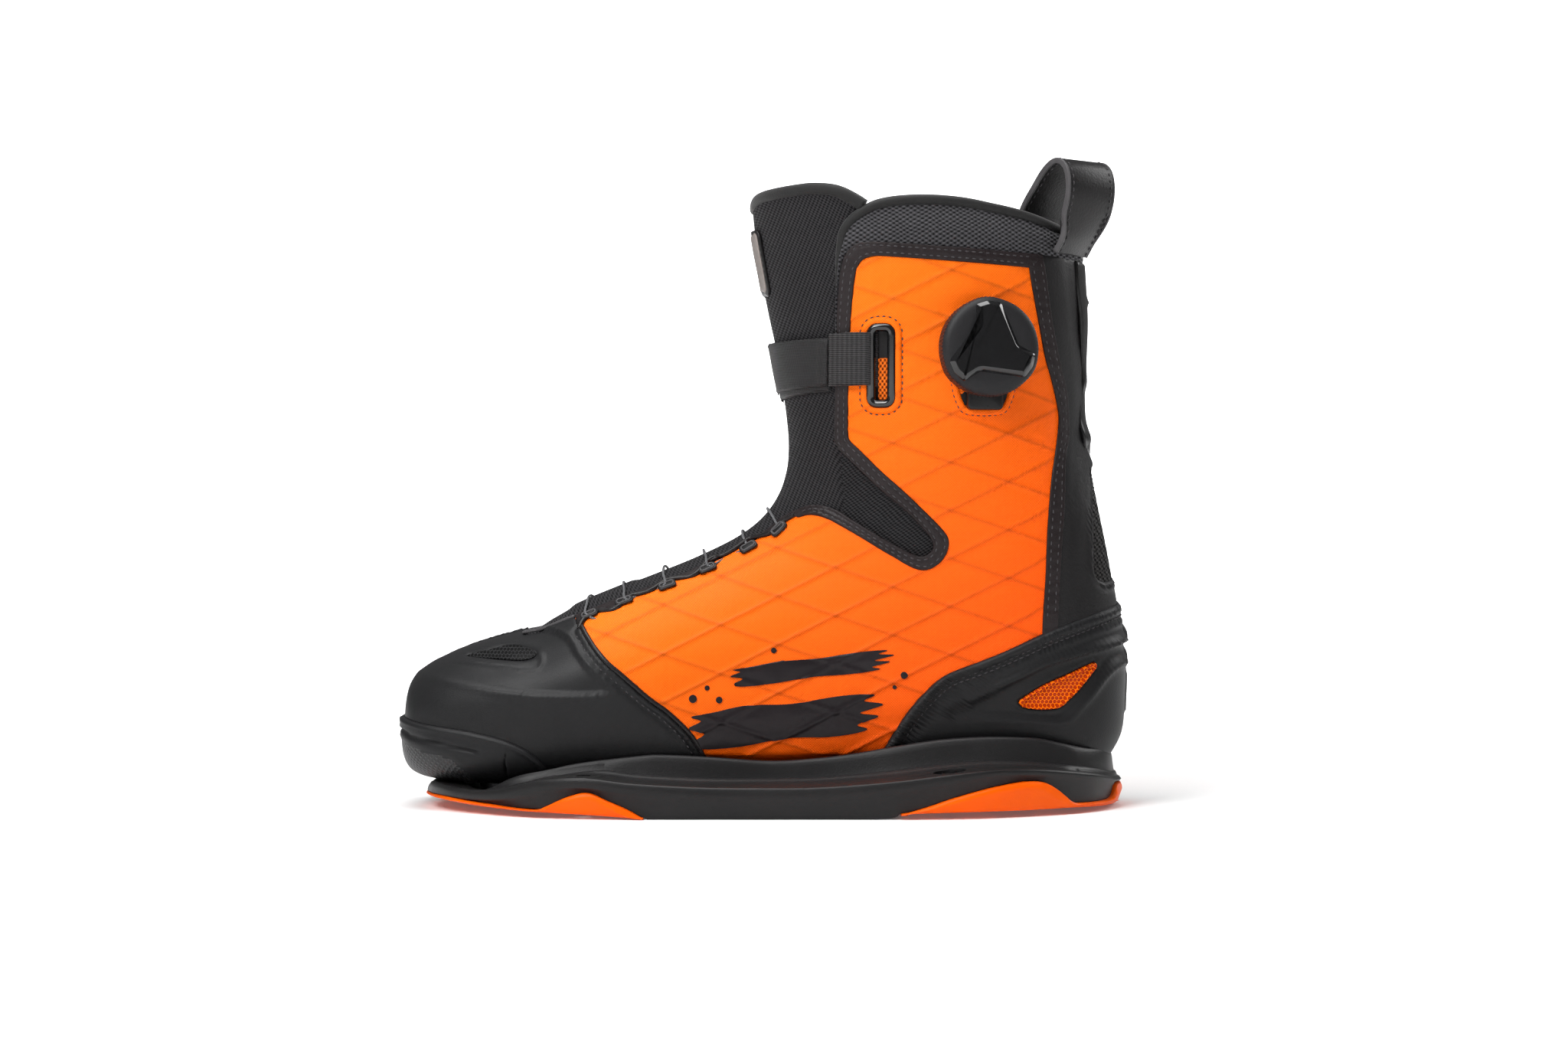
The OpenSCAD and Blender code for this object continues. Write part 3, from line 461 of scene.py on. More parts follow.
def panel(name, outline, height, base, material, holes=(), step=2.0, extra=None, uv=None,
          tip=False, rim=0.5, **place):
    """Closed piece of the upper between height(spots) and base, both off the shell, inside a u, t outline."""
    loops = [without_repeats(loop) for loop in [outline, *holes]]
    edge = np.vstack([skin(l[:, 0], l[:, 1]) for l in loops])
    flats = [flat(l[:, 0], l[:, 1]) for l in loops]
    tree = tree_of(edge)
    inner = staggered_rows(loops[0], step)
    if extra is not None:
        inner = np.vstack([inner, extra])
    inner = inner[covered(flat(inner[:, 0], inner[:, 1]), flats)]
    gap = np.array([tree.find(p)[2] for p in skin(inner[:, 0], inner[:, 1])])
    inner = inner[gap > 0.55 * step]
    tri, ut = triangles(np.vstack([*loops, *edge_rings(loops, flats, tree, rim), inner]), loops, flats)
    free = np.vstack(loops)[:, 0] > (1e-6 if tip else -1)
    spots = Spots(ut[:, 0], ut[:, 1], edge[free])
    up = skin(ut[:, 0], ut[:, 1], height(spots))
    down = skin(ut[:, 0], ut[:, 1], base(spots) if callable(base) else base)
    face_n = np.cross(up[tri[:, 1]] - up[tri[:, 0]], up[tri[:, 2]] - up[tri[:, 0]])
    out = skin(ut[:, 0], ut[:, 1], 1.0) - skin(ut[:, 0], ut[:, 1])
    wrong = (face_n * out[tri[:, 0]]).sum(1) < 0
    tri[wrong] = tri[wrong][:, ::-1]
    border = border_of(tri)
    n = len(ut)
    faces = tri.tolist() + (tri[:, ::-1] + n).tolist()
    points = np.vstack([up, down])
    flat_uv = np.vstack([uv(spots) if uv else spots.true[:, ::2]] * 2)
    if tip:                       # close the small oval at the toe's tip, above and below
        oval = [e for e in border if max(ut[e[0], 0], ut[e[1], 0]) < 1e-6]
        for level, order in ((0, 1), (n, -1)):
            centre = points[[e[0] + level for e in oval]].mean(0) - [0.6 * order, 0, 0]
            points = np.vstack([points, centre])
            flat_uv = np.vstack([flat_uv, centre[::2]])
            faces += [[e[1] + level, e[0] + level, len(points) - 1][::order] for e in oval]
        border = [e for e in border if e not in oval]
    faces += [[a, a + n, b + n, b] for a, b in border]
    return mesh_object(name, points, faces, material, uv=flat_uv, **place)


def sweep(name, path, up, shape, material, closed=False, grow=None, **place):
    """Tube with a cross-section shape (sideways, up) along a 3D path; up is one direction for each point."""
    path, up, shape = np.asarray(path, float), np.asarray(up, float), np.asarray(shape, float)
    n, m = len(path), len(shape)
    ahead = np.roll(path, -1, 0) if closed else np.vstack([path[1:], path[-1:]])
    behind = np.roll(path, 1, 0) if closed else np.vstack([path[:1], path[:-1]])
    along = unit(ahead - behind)
    up = unit(up - along * (up * along).sum(1, keepdims=True))
    across = np.cross(along, up)
    size = np.ones(n) if grow is None else grow
    points = (path[:, None] + shape[None, :, :1] * across[:, None] * size[:, None, None]
              + shape[None, :, 1:] * up[:, None] * size[:, None, None]).reshape(-1, 3)
    faces = []
    for i in range(n if closed else n - 1):
        k = (i + 1) % n
        faces += [[i * m + j, i * m + (j + 1) % m, k * m + (j + 1) % m, k * m + j] for j in range(m)]
    if not closed:
        faces += [list(range(m))[::-1], [(n - 1) * m + j for j in range(m)]]
    run = np.r_[0, np.cumsum(np.linalg.norm(np.diff(path, axis=0), axis=1))]
    round_run = np.r_[0, np.cumsum(np.linalg.norm(np.diff(shape, axis=0), axis=1))]
    uv = np.stack(np.meshgrid(run, round_run, indexing="ij"), -1).reshape(-1, 2)
    return mesh_object(name, points, faces, material, uv=uv, **place)


def ring_shape(a, b=None, n=12, lift=0.0):
    w = np.linspace(0, 2 * np.pi, n, endpoint=False)
    return np.c_[a * np.cos(w), (b or a) * np.sin(w) + lift]


def stitches(name, lines, material, length=2.2, pitch=3.1, r=0.32, **place):
    """A row of thread stitches along each line, given as points and outward directions."""
    points, faces = [], []
    sides, rings = 6, 5
    for path, up in lines:
        run = np.r_[0, np.cumsum(np.linalg.norm(np.diff(path, axis=0), axis=1))]
        count = int(run[-1] / pitch)
        if count < 1:
            continue
        for k in range(count):
            at = (k + 0.5) * run[-1] / count
            s = at + np.linspace(-0.5, 0.5, rings) * length
            p = np.stack([np.interp(s, run, path[:, c]) for c in range(3)], 1)
            n = unit(np.stack([np.interp(s, run, up[:, c]) for c in range(3)], 1))
            d = unit(np.gradient(p, axis=0))
            b = np.cross(d, n)
            fat = np.array([0.45, 0.9, 1, 0.9, 0.45]) * r
            sink = np.array([-0.9, -0.1, 0.15, -0.1, -0.9]) * r
            first = len(points)
            for i in range(rings):
                for j in range(sides):
                    w = 2 * math.pi * j / sides
                    points.append(p[i] + n[i] * (sink[i] + fat[i] * math.sin(w)) + b[i] * fat[i]
                                  * math.cos(w))
            for i in range(rings - 1):
                faces += [[first + i * sides + j, first + i * sides + (j + 1) % sides,
                           first + (i + 1) * sides + (j + 1) % sides, first + (i + 1) * sides + j]
                           for j in range(sides)]
            faces += [[first + j for j in range(sides)][::-1],
                      [first + (rings - 1) * sides + j for j in range(sides)]]
    return mesh_object(name, points, faces, material, **place)


def seam(line, shift, out):
    """Points and directions of a row of stitches beside a u, t line."""
    n = normal(line[:, 0], line[:, 1])
    return pull_in(line, shift) + n * out, n


# ---- Materials ----

class Nodes:
    """Short names for building a material's node tree."""

    def __init__(self, name):
        self.m = bpy.data.materials.new(name)
        self.m.use_nodes = True
        self.tree = self.m.node_tree
        self.shader = self.tree.nodes["Principled BSDF"]
        self.object = self.new("ShaderNodeTexCoord").outputs["Object"]
        self.flat = self.new("ShaderNodeUVMap").outputs["UV"]

    def new(self, kind, **settings):
        node = self.tree.nodes.new(kind)
        for key, value in settings.items():
            setattr(node, key, value)
        return node

    def put(self, value, socket):
        if isinstance(value, bpy.types.NodeSocket):
            self.tree.links.new(value, socket)
        else:
            socket.default_value = value

    def math(self, operation, a, b=0.0):
        node = self.new("ShaderNodeMath", operation=operation)
        self.put(a, node.inputs[0])
        self.put(b, node.inputs[1])
        return node.outputs[0]

    def noise(self, scale, detail=3.0, where=None, stretch=(1, 1, 1)):
        place = self.new("ShaderNodeMapping")
        self.put(where or self.object, place.inputs["Vector"])
        place.inputs["Scale"].default_value = stretch
        node = self.new("ShaderNodeTexNoise")
        self.put(place.outputs[0], node.inputs["Vector"])
        node.inputs["Scale"].default_value = scale
        node.inputs["Detail"].default_value = detail
        return node.outputs["Fac"]

    def spread(self, value, low, high, start=0.0, end=1.0):
        node = self.new("ShaderNodeMapRange")
        self.put(value, node.inputs["Value"])
        for key, v in (("From Min", start), ("From Max", end), ("To Min", low), ("To Max", high)):
            node.inputs[key].default_value = v
        return node.outputs["Result"]

    def tint(self, factor, dark, light):
        node = self.new("ShaderNodeMix", data_type="RGBA")
        self.put(factor, node.inputs[0])
        self.put((*dark, 1), node.inputs[6])
        self.put((*light, 1), node.inputs[7])
        return node.outputs[2]

    def bump(self, height, distance, strength=1.0, below=None):
        node = self.new("ShaderNodeBump")
        self.put(height, node.inputs["Height"])
        node.inputs["Distance"].default_value = distance
        node.inputs["Strength"].default_value = strength
        if below is not None:
            self.put(below, node.inputs["Normal"])
        return node.outputs["Normal"]

    def axes(self, where):
        node = self.new("ShaderNodeSeparateXYZ")
        self.put(where, node.inputs[0])
        return node.outputs

    def wave(self, value, pitch, phase=0.0):
        """A sine of the given pitch in metres, from -1 to 1."""
        return self.math("SINE", self.math("ADD", self.math("MULTIPLY", value, 2 * math.pi / pitch), phase))


def grained(name, colour, light, rough, rough_spread=0.08, grain=1400, depth=0.00006, blotch=45, **shader):
    """A moulded or coated surface: fine grain, slow colour variation and uneven gloss."""
    n = Nodes(name)
    n.put(n.tint(n.noise(blotch, 4), colour, light), n.shader.inputs["Base Color"])
    n.put(n.spread(n.noise(blotch * 2.2, 5), rough - rough_spread, rough + rough_spread),
          n.shader.inputs["Roughness"])
    n.put(n.bump(n.noise(grain, 2), depth), n.shader.inputs["Normal"])
    n.shader.inputs["Specular IOR Level"].default_value = 0.2
    for key, value in shader.items():
        n.shader.inputs[key.replace("_", " ")].default_value = value
    return n.m


def cloth(name, dark, light, pitch, depth, rough=0.75, skew=0.0, aspect=1.0, sheen=0.2, coarse=0.0,
          where="flat", stretch=1.0, lower=0.12, tone=0.22):
    """A woven or knitted fabric: knots at the given pitch, darker between them, with slow wear."""
    n = Nodes(name)
    if where == "flat":
        x, z, _ = n.axes(n.flat)
    else:
        x, _, z = n.axes(n.object)
    wobble = n.math("MULTIPLY", n.math("SUBTRACT", n.noise(60, 2), 0.5), pitch * 0.9)
    x = n.math("ADD", x, n.math("ADD", n.math("MULTIPLY", z, skew), wobble))
    z = n.math("ADD", z, wobble)
    weave = n.math("MULTIPLY", n.wave(x, pitch * stretch), n.wave(z, pitch * aspect))
    height = n.spread(weave, 0, 1, -1, 1)
    if coarse:
        height = n.math("ADD", height, n.math("MULTIPLY", n.noise(900, 2), coarse))
    knot = n.spread(height, 0, 1, lower, 0.75 + coarse)
    slow = n.spread(n.noise(18, 4), 1 - tone, 1 + tone)
    shade = n.tint(knot, dark, light)
    worn = n.new("ShaderNodeVectorMath", operation="SCALE")
    n.put(shade, worn.inputs[0])
    n.put(slow, worn.inputs["Scale"])
    n.put(worn.outputs[0], n.shader.inputs["Base Color"])
    n.put(n.spread(height, rough + 0.12, rough - 0.08), n.shader.inputs["Roughness"])
    n.put(n.bump(height, depth), n.shader.inputs["Normal"])
    n.shader.inputs["Specular IOR Level"].default_value = 0.12
    n.shader.inputs["Sheen Weight"].default_value = sheen * 0.25
    n.shader.inputs["Sheen Roughness"].default_value = 0.4
    return n.m


def ribbed(name, dark, light, pitch, depth, axis=1, rough=0.6, cross=None):
    """Tape with ribs of the given pitch along one axis of its flat map, and finer threads across them."""
    n = Nodes(name)
    part = n.axes(n.flat)
    rib = n.spread(n.wave(part[axis], pitch), 0, 1, -1, 1)
    thread = n.spread(n.wave(part[1 - axis], cross or pitch * 0.55), 0, 0.5, -1, 1)
    height = n.math("ADD", rib, thread)
    fleck = n.noise(2600, 2)
    shade = n.math("MULTIPLY", n.spread(height, 0, 1, 0.1, 1.4), n.spread(fleck, 0.6, 1.3))
    n.put(n.tint(shade, dark, light), n.shader.inputs["Base Color"])
    n.put(n.spread(n.noise(70, 3), rough - 0.08, rough + 0.1), n.shader.inputs["Roughness"])
    n.put(n.bump(height, depth), n.shader.inputs["Normal"])
    n.shader.inputs["Specular IOR Level"].default_value = 0.15
    n.shader.inputs["Sheen Weight"].default_value = 0.04
    return n.m


def metal(name, colour, rough):
    n = Nodes(name)
    n.put(n.tint(n.noise(220, 4), tuple(c * 0.8 for c in colour), colour), n.shader.inputs["Base Color"])
    n.shader.inputs["Metallic"].default_value = 1.0
    n.put(n.spread(n.noise(600, 3, stretch=(1, 1, 6)), rough - 0.08, rough + 0.12),
          n.shader.inputs["Roughness"])
    n.put(n.bump(n.noise(1500, 2), 0.00002), n.shader.inputs["Normal"])
    return n.m


# Where the embossed lattice starts, and its two steps, x and z
LATTICE_START, LATTICE_A, LATTICE_B = np.array([4.75, 91.3]), np.array([24.2, 12.1]), np.array([24.2, -8.1])
TO_LATTICE = np.linalg.inv(np.c_[LATTICE_A, LATTICE_B])
ACROSS_A = abs(np.cross(LATTICE_A, LATTICE_B)) / np.linalg.norm(LATTICE_A)
ACROSS_B = abs(np.cross(LATTICE_A, LATTICE_B)) / np.linalg.norm(LATTICE_B)


def embossed_fabric():
    """Orange coated weave, a little deeper along the embossed diamonds as painted shade, and deeper toward
    the lower heel and lighter toward the upper front as painted light.
    """
    n = Nodes("orange_fabric")
    x, z, _ = n.axes(n.flat)
    weave = n.spread(n.math("MULTIPLY", n.wave(x, 0.0011), n.wave(z, 0.0011)), 0, 1, -1, 1)
    shade = n.tint(weave, (0.80, 0.083, 0.0), (1.0, 0.15, 0.0))
    lines = []
    # Painted shade: the colour is darkened along each embossed diamond line, standing in for the shade of the
    # embossing
    for row, across in ((1, ACROSS_A), (0, ACROSS_B)):
        kx, kz = TO_LATTICE[row] / MM
        k0 = -float(TO_LATTICE[row] @ LATTICE_START) + 0.5
        k = n.math("ADD", n.math("MULTIPLY", x, float(kx)), n.math("MULTIPLY", z, float(kz)))
        k = n.math("ADD", k, k0)
        off = n.math("MULTIPLY", n.math("ABSOLUTE", n.math("SUBTRACT", n.math("FRACT", k), 0.5)),
                     float(across))
        lines.append(n.spread(off, 0.76, 1.0, 0.0, 1.3))
    # Painted light: the colour's green is raised toward the upper front and lowered toward the lower heel, a
    # lit-to-shaded slope standing in for how the lamps fall
    slope = n.math("SUBTRACT", x, n.math("MULTIPLY", z, 0.9))
    painted_lighting = n.spread(slope, 0.0, 1.0, -0.16, 0.1)
    tone = n.new("ShaderNodeVectorMath", operation="SCALE")
    n.put(shade, tone.inputs[0])
    n.put(n.math("MULTIPLY", n.math("MULTIPLY", lines[0], lines[1]), n.spread(n.noise(14, 4), 0.95, 1.05)),
          tone.inputs["Scale"])
    parts = n.axes(tone.outputs[0])
    out = n.new("ShaderNodeCombineXYZ")
    n.put(parts[0], out.inputs[0])
    n.put(n.math("MULTIPLY", parts[1], n.spread(painted_lighting, 1.3, 0.62)), out.inputs[1])
    n.put(out.outputs[0], n.shader.inputs["Base Color"])
    n.put(n.spread(n.noise(40, 4), 0.5, 0.66), n.shader.inputs["Roughness"])
    n.put(n.bump(weave, 0.00012), n.shader.inputs["Normal"])
    n.shader.inputs["Specular IOR Level"].default_value = 0.16
    return n.m


# How far apart the rows of a staggered pattern are, in pitches
ROW = math.sqrt(3)


def perforated(name, dark, light, pitch, hole):
    """Moulded sheet with round sunk cells in staggered rows, the cells coloured darker than the sheet as
    painted shade.
    """
    n = Nodes(name)
    x, z, _ = n.axes(n.flat)
    nearest = None
    for shift in (0.0, 0.5):
        column = n.math("ADD", n.math("MULTIPLY", x, 1 / (pitch * MM)), shift)
        row = n.math("ADD", n.math("MULTIPLY", z, 1 / (pitch * MM * ROW)), shift)
        dx = n.math("SUBTRACT", n.math("FRACT", column), 0.5)
        dz = n.math("MULTIPLY", n.math("SUBTRACT", n.math("FRACT", row), 0.5), ROW)
        d = n.math("SQRT", n.math("ADD", n.math("MULTIPLY", dx, dx), n.math("MULTIPLY", dz, dz)))
        nearest = d if nearest is None else n.math("MINIMUM", nearest, d)
    # Painted shade: the sunk cells take the dark colour and the sheet between them the light one
    wall = n.spread(nearest, 0, 1, hole * 0.42, hole * 0.56)
    n.put(n.tint(wall, dark, light), n.shader.inputs["Base Color"])
    n.put(n.spread(n.noise(900, 2), 0.36, 0.46), n.shader.inputs["Roughness"])
    n.put(n.bump(wall, 0.0004), n.shader.inputs["Normal"])
    n.shader.inputs["Specular IOR Level"].default_value = 0.12
    return n.m


def knurled_rubber():
    """Rubber with a fine diagonal grip pattern."""
    n = Nodes("knurled_rubber")
    x, z, _ = n.axes(n.flat)
    a = n.wave(n.math("ADD", x, n.math("MULTIPLY", z, 0.8)), 0.0016)
    b = n.wave(n.math("SUBTRACT", x, n.math("MULTIPLY", z, 0.8)), 0.0016)
    height = n.spread(n.math("MAXIMUM", a, b), 0, 1, -1, 1)
    n.put(n.tint(n.noise(50, 3), (0.007, 0.007, 0.0075), (0.012, 0.012, 0.013)),
          n.shader.inputs["Base Color"])
    n.put(n.spread(n.noise(90, 3), 0.42, 0.56), n.shader.inputs["Roughness"])
    n.put(n.bump(height, 0.00022), n.shader.inputs["Normal"])
    return n.m


ORANGE_FABRIC = embossed_fabric()
ORANGE_MESH = cloth("orange_mesh", (0.12, 0.02, 0.0), (0.95, 0.17, 0.01), 0.0019, 0.0004, rough=0.6,
                    aspect=1.3, sheen=0.1, lower=0.2)
KNIT = cloth("tongue_knit", (0.0023, 0.0023, 0.0026), (0.027, 0.0255, 0.0277), 0.0017, 0.00035, rough=0.7,
             skew=0.55, aspect=1.05, sheen=0.12, lower=0.15)
COARSE_MESH = cloth("collar_mesh", (0.0014, 0.0014, 0.0014), (0.078, 0.076, 0.082), 0.003, 0.0007, rough=0.5,
                    aspect=0.62, sheen=0.1, coarse=0.35, where="object", lower=0.25)
GUSSET_MESH = cloth("gusset_mesh", (0.003, 0.003, 0.003), (0.0375, 0.0353, 0.0338), 0.0023, 0.0005, rough=0.6,
                    aspect=0.8, sheen=0.05, lower=0.2)
STRETCH_KNIT = cloth("stretch_knit", (0.0016, 0.0016, 0.002), (0.024, 0.0232, 0.0248), 0.0022, 0.0004,
                     rough=0.65, skew=-0.35, aspect=0.7, sheen=0.1, lower=0.2)
LINING = cloth("lining_fleece", (0.0084, 0.0084, 0.0091), (0.0245, 0.0245, 0.0259), 0.003, 0.0005, rough=0.9,
               aspect=1.0, sheen=0.4, coarse=0.3)
SYNTHETIC = grained("black_synthetic", (0.0066, 0.0063, 0.0066), (0.0132, 0.0121, 0.0127), 0.42, 0.07, 900,
                    0.00012, 30)
TRIM = grained("trim_tape", (0.0096, 0.0066, 0.0072), (0.0198, 0.0144, 0.015), 0.40, 0.1, 1100, 0.00014, 60)
SHINY = grained("piping", (0.0084, 0.0072, 0.0072), (0.0168, 0.0144, 0.015), 0.27, 0.06, 1300, 0.00006, 80)
NEOPRENE = grained("neoprene_binding", (0.0066, 0.0066, 0.0066), (0.0126, 0.012, 0.012), 0.62, 0.06, 1800,
                   0.00012, 40, Sheen_Weight=0.15)
RUBBER = grained("black_rubber", (0.0074, 0.0074, 0.008), (0.0129, 0.0129, 0.0138), 0.47, 0.06, 1500, 0.00007,
                 25)
SOFT_TOE = grained("toe_rubber", (0.008, 0.008, 0.0085), (0.0132, 0.0132, 0.014), 0.46, 0.05, 1700, 0.00006,
                   22)
KNURLED = knurled_rubber()
FRAME_PLASTIC = grained("frame_plastic", (0.0094, 0.0091, 0.0094), (0.0171, 0.0165, 0.0171), 0.38, 0.06, 1900,
                        0.00007, 30)
HEEL_MESH = perforated("heel_vent_orange", (0.42, 0.03, 0.0), (1.0, 0.16, 0.0), 1.75, 0.8)
TOE_MESH = perforated("toe_vent_black", (0.001, 0.001, 0.001), (0.022, 0.022, 0.023), 1.6, 0.8)
PAD_ORANGE = grained("grip_orange", (0.86, 0.085, 0.0), (0.98, 0.125, 0.0), 0.36, 0.05, 900, 0.00006, 30,
                     Specular_IOR_Level=0.12)
GLOSS = grained("gloss_black", (0.0045, 0.0045, 0.005), (0.006, 0.006, 0.0065), 0.13, 0.02, 300, 0.000001, 90,
                Specular_IOR_Level=0.6)
SATIN = grained("satin_black", (0.0077, 0.0074, 0.0077), (0.0132, 0.0127, 0.0129), 0.3, 0.05, 1400, 0.00005,
                60)
KNOB = grained("knob_black", (0.0102, 0.0099, 0.0108), (0.0162, 0.0159, 0.0174), 0.47, 0.05, 1600, 0.00009,
               70)
THREAD = grained("black_thread", (0.03, 0.028, 0.03), (0.07, 0.066, 0.07), 0.5, 0.06, 3000, 0.0001, 300)
LACE = ribbed("lace_steel", (0.03, 0.03, 0.032), (0.22, 0.22, 0.23), 0.0009, 0.00015, axis=0, rough=0.35)
GREY_EDGE = grained("grey_edge", (0.042, 0.0406, 0.042), (0.084, 0.0805, 0.084), 0.35, 0.06, 1500, 0.00005,
                    120)
BADGE = grained("badge_film", (0.17, 0.145, 0.135), (0.26, 0.23, 0.215), 0.33, 0.06, 1200, 0.00008, 90)
GRAPHIC = grained("printed_film", (0.0078, 0.006, 0.0072), (0.0156, 0.0114, 0.0132), 0.36, 0.08, 700, 0.00008,
                  70)
STRAP = ribbed("strap_band", (0.0084, 0.0084, 0.0087), (0.0294, 0.0287, 0.0294), 0.00062, 0.0001, axis=1,
               rough=0.5, cross=0.0011)
WEBBING = ribbed("webbing", (0.008, 0.008, 0.0084), (0.052, 0.0496, 0.0512), 0.0009, 0.00022, axis=1,
                 rough=0.6, cross=0.0019)
STEEL = metal("screw_steel", (0.62, 0.62, 0.64), 0.3)
BRASS = metal("tee_nut_brass", (0.75, 0.55, 0.24), 0.35)
SPOOL = grained("spool_grey", (0.09, 0.09, 0.095), (0.13, 0.13, 0.14), 0.4, 0.06, 1200, 0.00005, 80)
BOARD = cloth("lasting_board", (0.05, 0.04, 0.03), (0.14, 0.11, 0.08), 0.0016, 0.0002, where="object",
              sheen=0.0)
FOOTBED = cloth("footbed_cloth", (0.05, 0.05, 0.055), (0.10, 0.10, 0.11), 0.002, 0.0003, where="object",
                rough=0.85)

# ---- Outlines seen square from the side, x and z ----

TOE_SEAM = [(-81, 80.5), (-78.5, 77), (-75.5, 72.5), (-72.5, 68.5), (-67.5, 63), (-62.5, 58.8), (-57.5, 54.5),
            (-53, 50.5), (-48, 46.5), (-43, 43), (-38.5, 39), (-34.5, 35), (-31, 30.5), (-27.5, 24),
            (-26, 20)]
CUFF_TOP = [(33, 235.5), (34.5, 237.5), (37, 239.5), (41, 240.5), (49, 240.3), (67, 239), (87, 237.6),
            (106, 236.3), (115, 236)]
REAR_SEAM = [(110.5, 236), (111.5, 226), (115, 207.5), (118, 192.5), (121.5, 180.5), (124, 168.5),
             (123.5, 159.5), (122, 149.5), (120.5, 139.5), (118.8, 119.5), (118, 100), (117, 85), (116.5, 70)]
NOTCH = [(29.5, 205), (29.2, 180), (29, 158), (30, 155), (32, 152), (38.5, 145.5), (48.5, 136), (58.5, 127.5),
         (66, 119.7), (69.3, 115.5), (70.3, 112.5), (69, 109.8), (66, 108.2), (63, 108.5), (58.5, 110.5),
         (48.5, 116), (39, 121.8), (34, 125), (29.5, 127.7), (24.5, 129.4), (20, 129.8), (16.5, 129.2),
         (12.5, 127.4), (9, 125.8)]
NOTCH_OUT = [(36.3, 217), (35.5, 207.5), (34.7, 188), (34.5, 165), (34.6, 159.5), (35.6, 156.8), (39.5, 153),
             (48.5, 144), (58, 135.5), (67.5, 126.3), (72.8, 121), (76, 117), (76.8, 113.5), (75.8, 109.5),
             (73.5, 106), (70, 103.3), (66.5, 102.3), (62.5, 103), (58, 105.2), (54, 107.6), (48.5, 110.8),
             (39, 116.6), (31, 121.2), (26, 123.8), (21.5, 125.3), (17.5, 125.6), (13.5, 124.6)]
COUNTER_TOP = [(49.5, 26.5), (53, 32.5), (58, 40.3), (63, 46.8), (68, 52), (72, 55.8), (77.5, 59.2),
               (87.5, 63), (97.5, 67), (107, 71.2), (116.5, 75.5), (126.5, 79.3), (137, 83), (147, 86.3),
               (152.5, 88.2)]
BUMPER_TOP = [(-157.5, 39.5), (-156, 39), (-152, 38), (-146.5, 36.8), (-136, 35.6), (-125.5, 34.3),
              (-115.5, 32.2), (-111, 31), (-106, 29.2), (-101, 26.8), (-96, 23), (-93, 20), (-90.5, 16.5)]
TOE_VENT = [(-128.5, 66.3), (-118, 69.2), (-113, 70.6), (-108, 71.2), (-103, 70.4), (-99.3, 69),
            (-97.8, 67.3), (-99.5, 65.8), (-103, 65), (-108, 64.9), (-117, 65.5)]
HEEL_VENT = [(106.5, 46.3), (108, 48.3), (116.5, 53.6), (126.5, 58), (137.6, 63), (139.4, 63), (139.7, 61.5),
             (137.2, 58.4), (132, 52.2), (127.5, 47.8), (124.5, 45.2), (121, 44.1), (114.5, 43.9),
             (108.5, 44.7)]
SLOT_MID, SLOT_SIZE, SLOT_ROUND = (48.2, 188.5), (4.5, 28.0), 2.6
SCALLOP = [(15, 127.5), (12, 125.6), (9.5, 124.4), (7.5, 123), (5.5, 120.6), (3, 118.6), (0.5, 117.4),
           (-3, 116.4), (-6.5, 115.6), (-9.5, 113.7), (-14.5, 110.3), (-19, 108), (-22.5, 107.3),
           (-25.5, 105.2), (-28, 102.2), (-30.5, 100), (-33.5, 98.9), (-37.5, 98.4), (-41, 97.8),
           (-44.5, 96.2), (-49, 93.4), (-53.5, 91.8), (-56.5, 91.2), (-60, 89.4), (-62.5, 86.6), (-66, 85),
           (-70, 84.6), (-73.5, 84), (-76.5, 82), (-78.3, 80), (-79.5, 77.2)]


def gap_line(side, extra=0.0, u0=6.5, u1=26.0, n=60):
    """Edge of the tongue's gap on one side, from the toe upward."""
    u = np.linspace(u0, u1, n)
    return np.c_[u, side * (np.interp(u, TONGUE_GAP[:, 0], TONGUE_GAP[:, 1]) + extra)]


def level(u0, u1, t, side=OUTER, n=30):
    """u, t line at one place round the sections."""
    return np.c_[np.linspace(u0, u1, n), np.full(n, side * t)]


def slot_outline(grow, n=7):
    """Rounded slot in the cuff, grown by some millimetres."""
    r = SLOT_ROUND + grow
    hx, hz = SLOT_SIZE[0] / 2 + 2 - SLOT_ROUND, SLOT_SIZE[1] / 2 + 2 - SLOT_ROUND
    points = []
    for sx, sz, a in ((1, 1, 0), (-1, 1, 90), (-1, -1, 180), (1, -1, 270)):
        for k in range(n):
            w = math.radians(a + 90 * k / (n - 1))
            points.append((SLOT_MID[0] + sx * hx + r * math.cos(w), SLOT_MID[1] + sz * hz + r * math.sin(w)))
    return points


# ---- Orange quarters ----

def lattice_distance(x, z):
    """Distance to the nearest line of each family of the embossed diamonds."""
    k = (np.c_[x, z] - LATTICE_START) @ TO_LATTICE.T
    off = np.abs(k - np.round(k))
    return off[:, 1] * ACROSS_A, off[:, 0] * ACROSS_B


def lattice_points(side, step=1.4):
    """Points along the embossed lines, for the mesh to follow."""
    made = []
    for k in range(-12, 14):
        for start, along, across in ((LATTICE_B, LATTICE_A, 1), (LATTICE_A, LATTICE_B, 1)):
            n = np.array([-along[1], along[0]]) / np.linalg.norm(along)
            s = np.arange(-260, 260, step)[:, None] / np.linalg.norm(along)
            for shift in (-1.3, -0.55, 0, 0.55, 1.3):
                made.append(LATTICE_START + start * k + along * s + n * shift * across)
    p = np.vstack(made)
    p = p[(p[:, 0] > -85) & (p[:, 0] < 128) & (p[:, 1] > 16) & (p[:, 1] < 242)]
    ut = on_side(p)
    near = np.linalg.norm(skin(ut[:, 0], -ut[:, 1])[:, ::2] - p, axis=1) < 0.2
    return np.c_[ut[near, 0], side * ut[near, 1]]


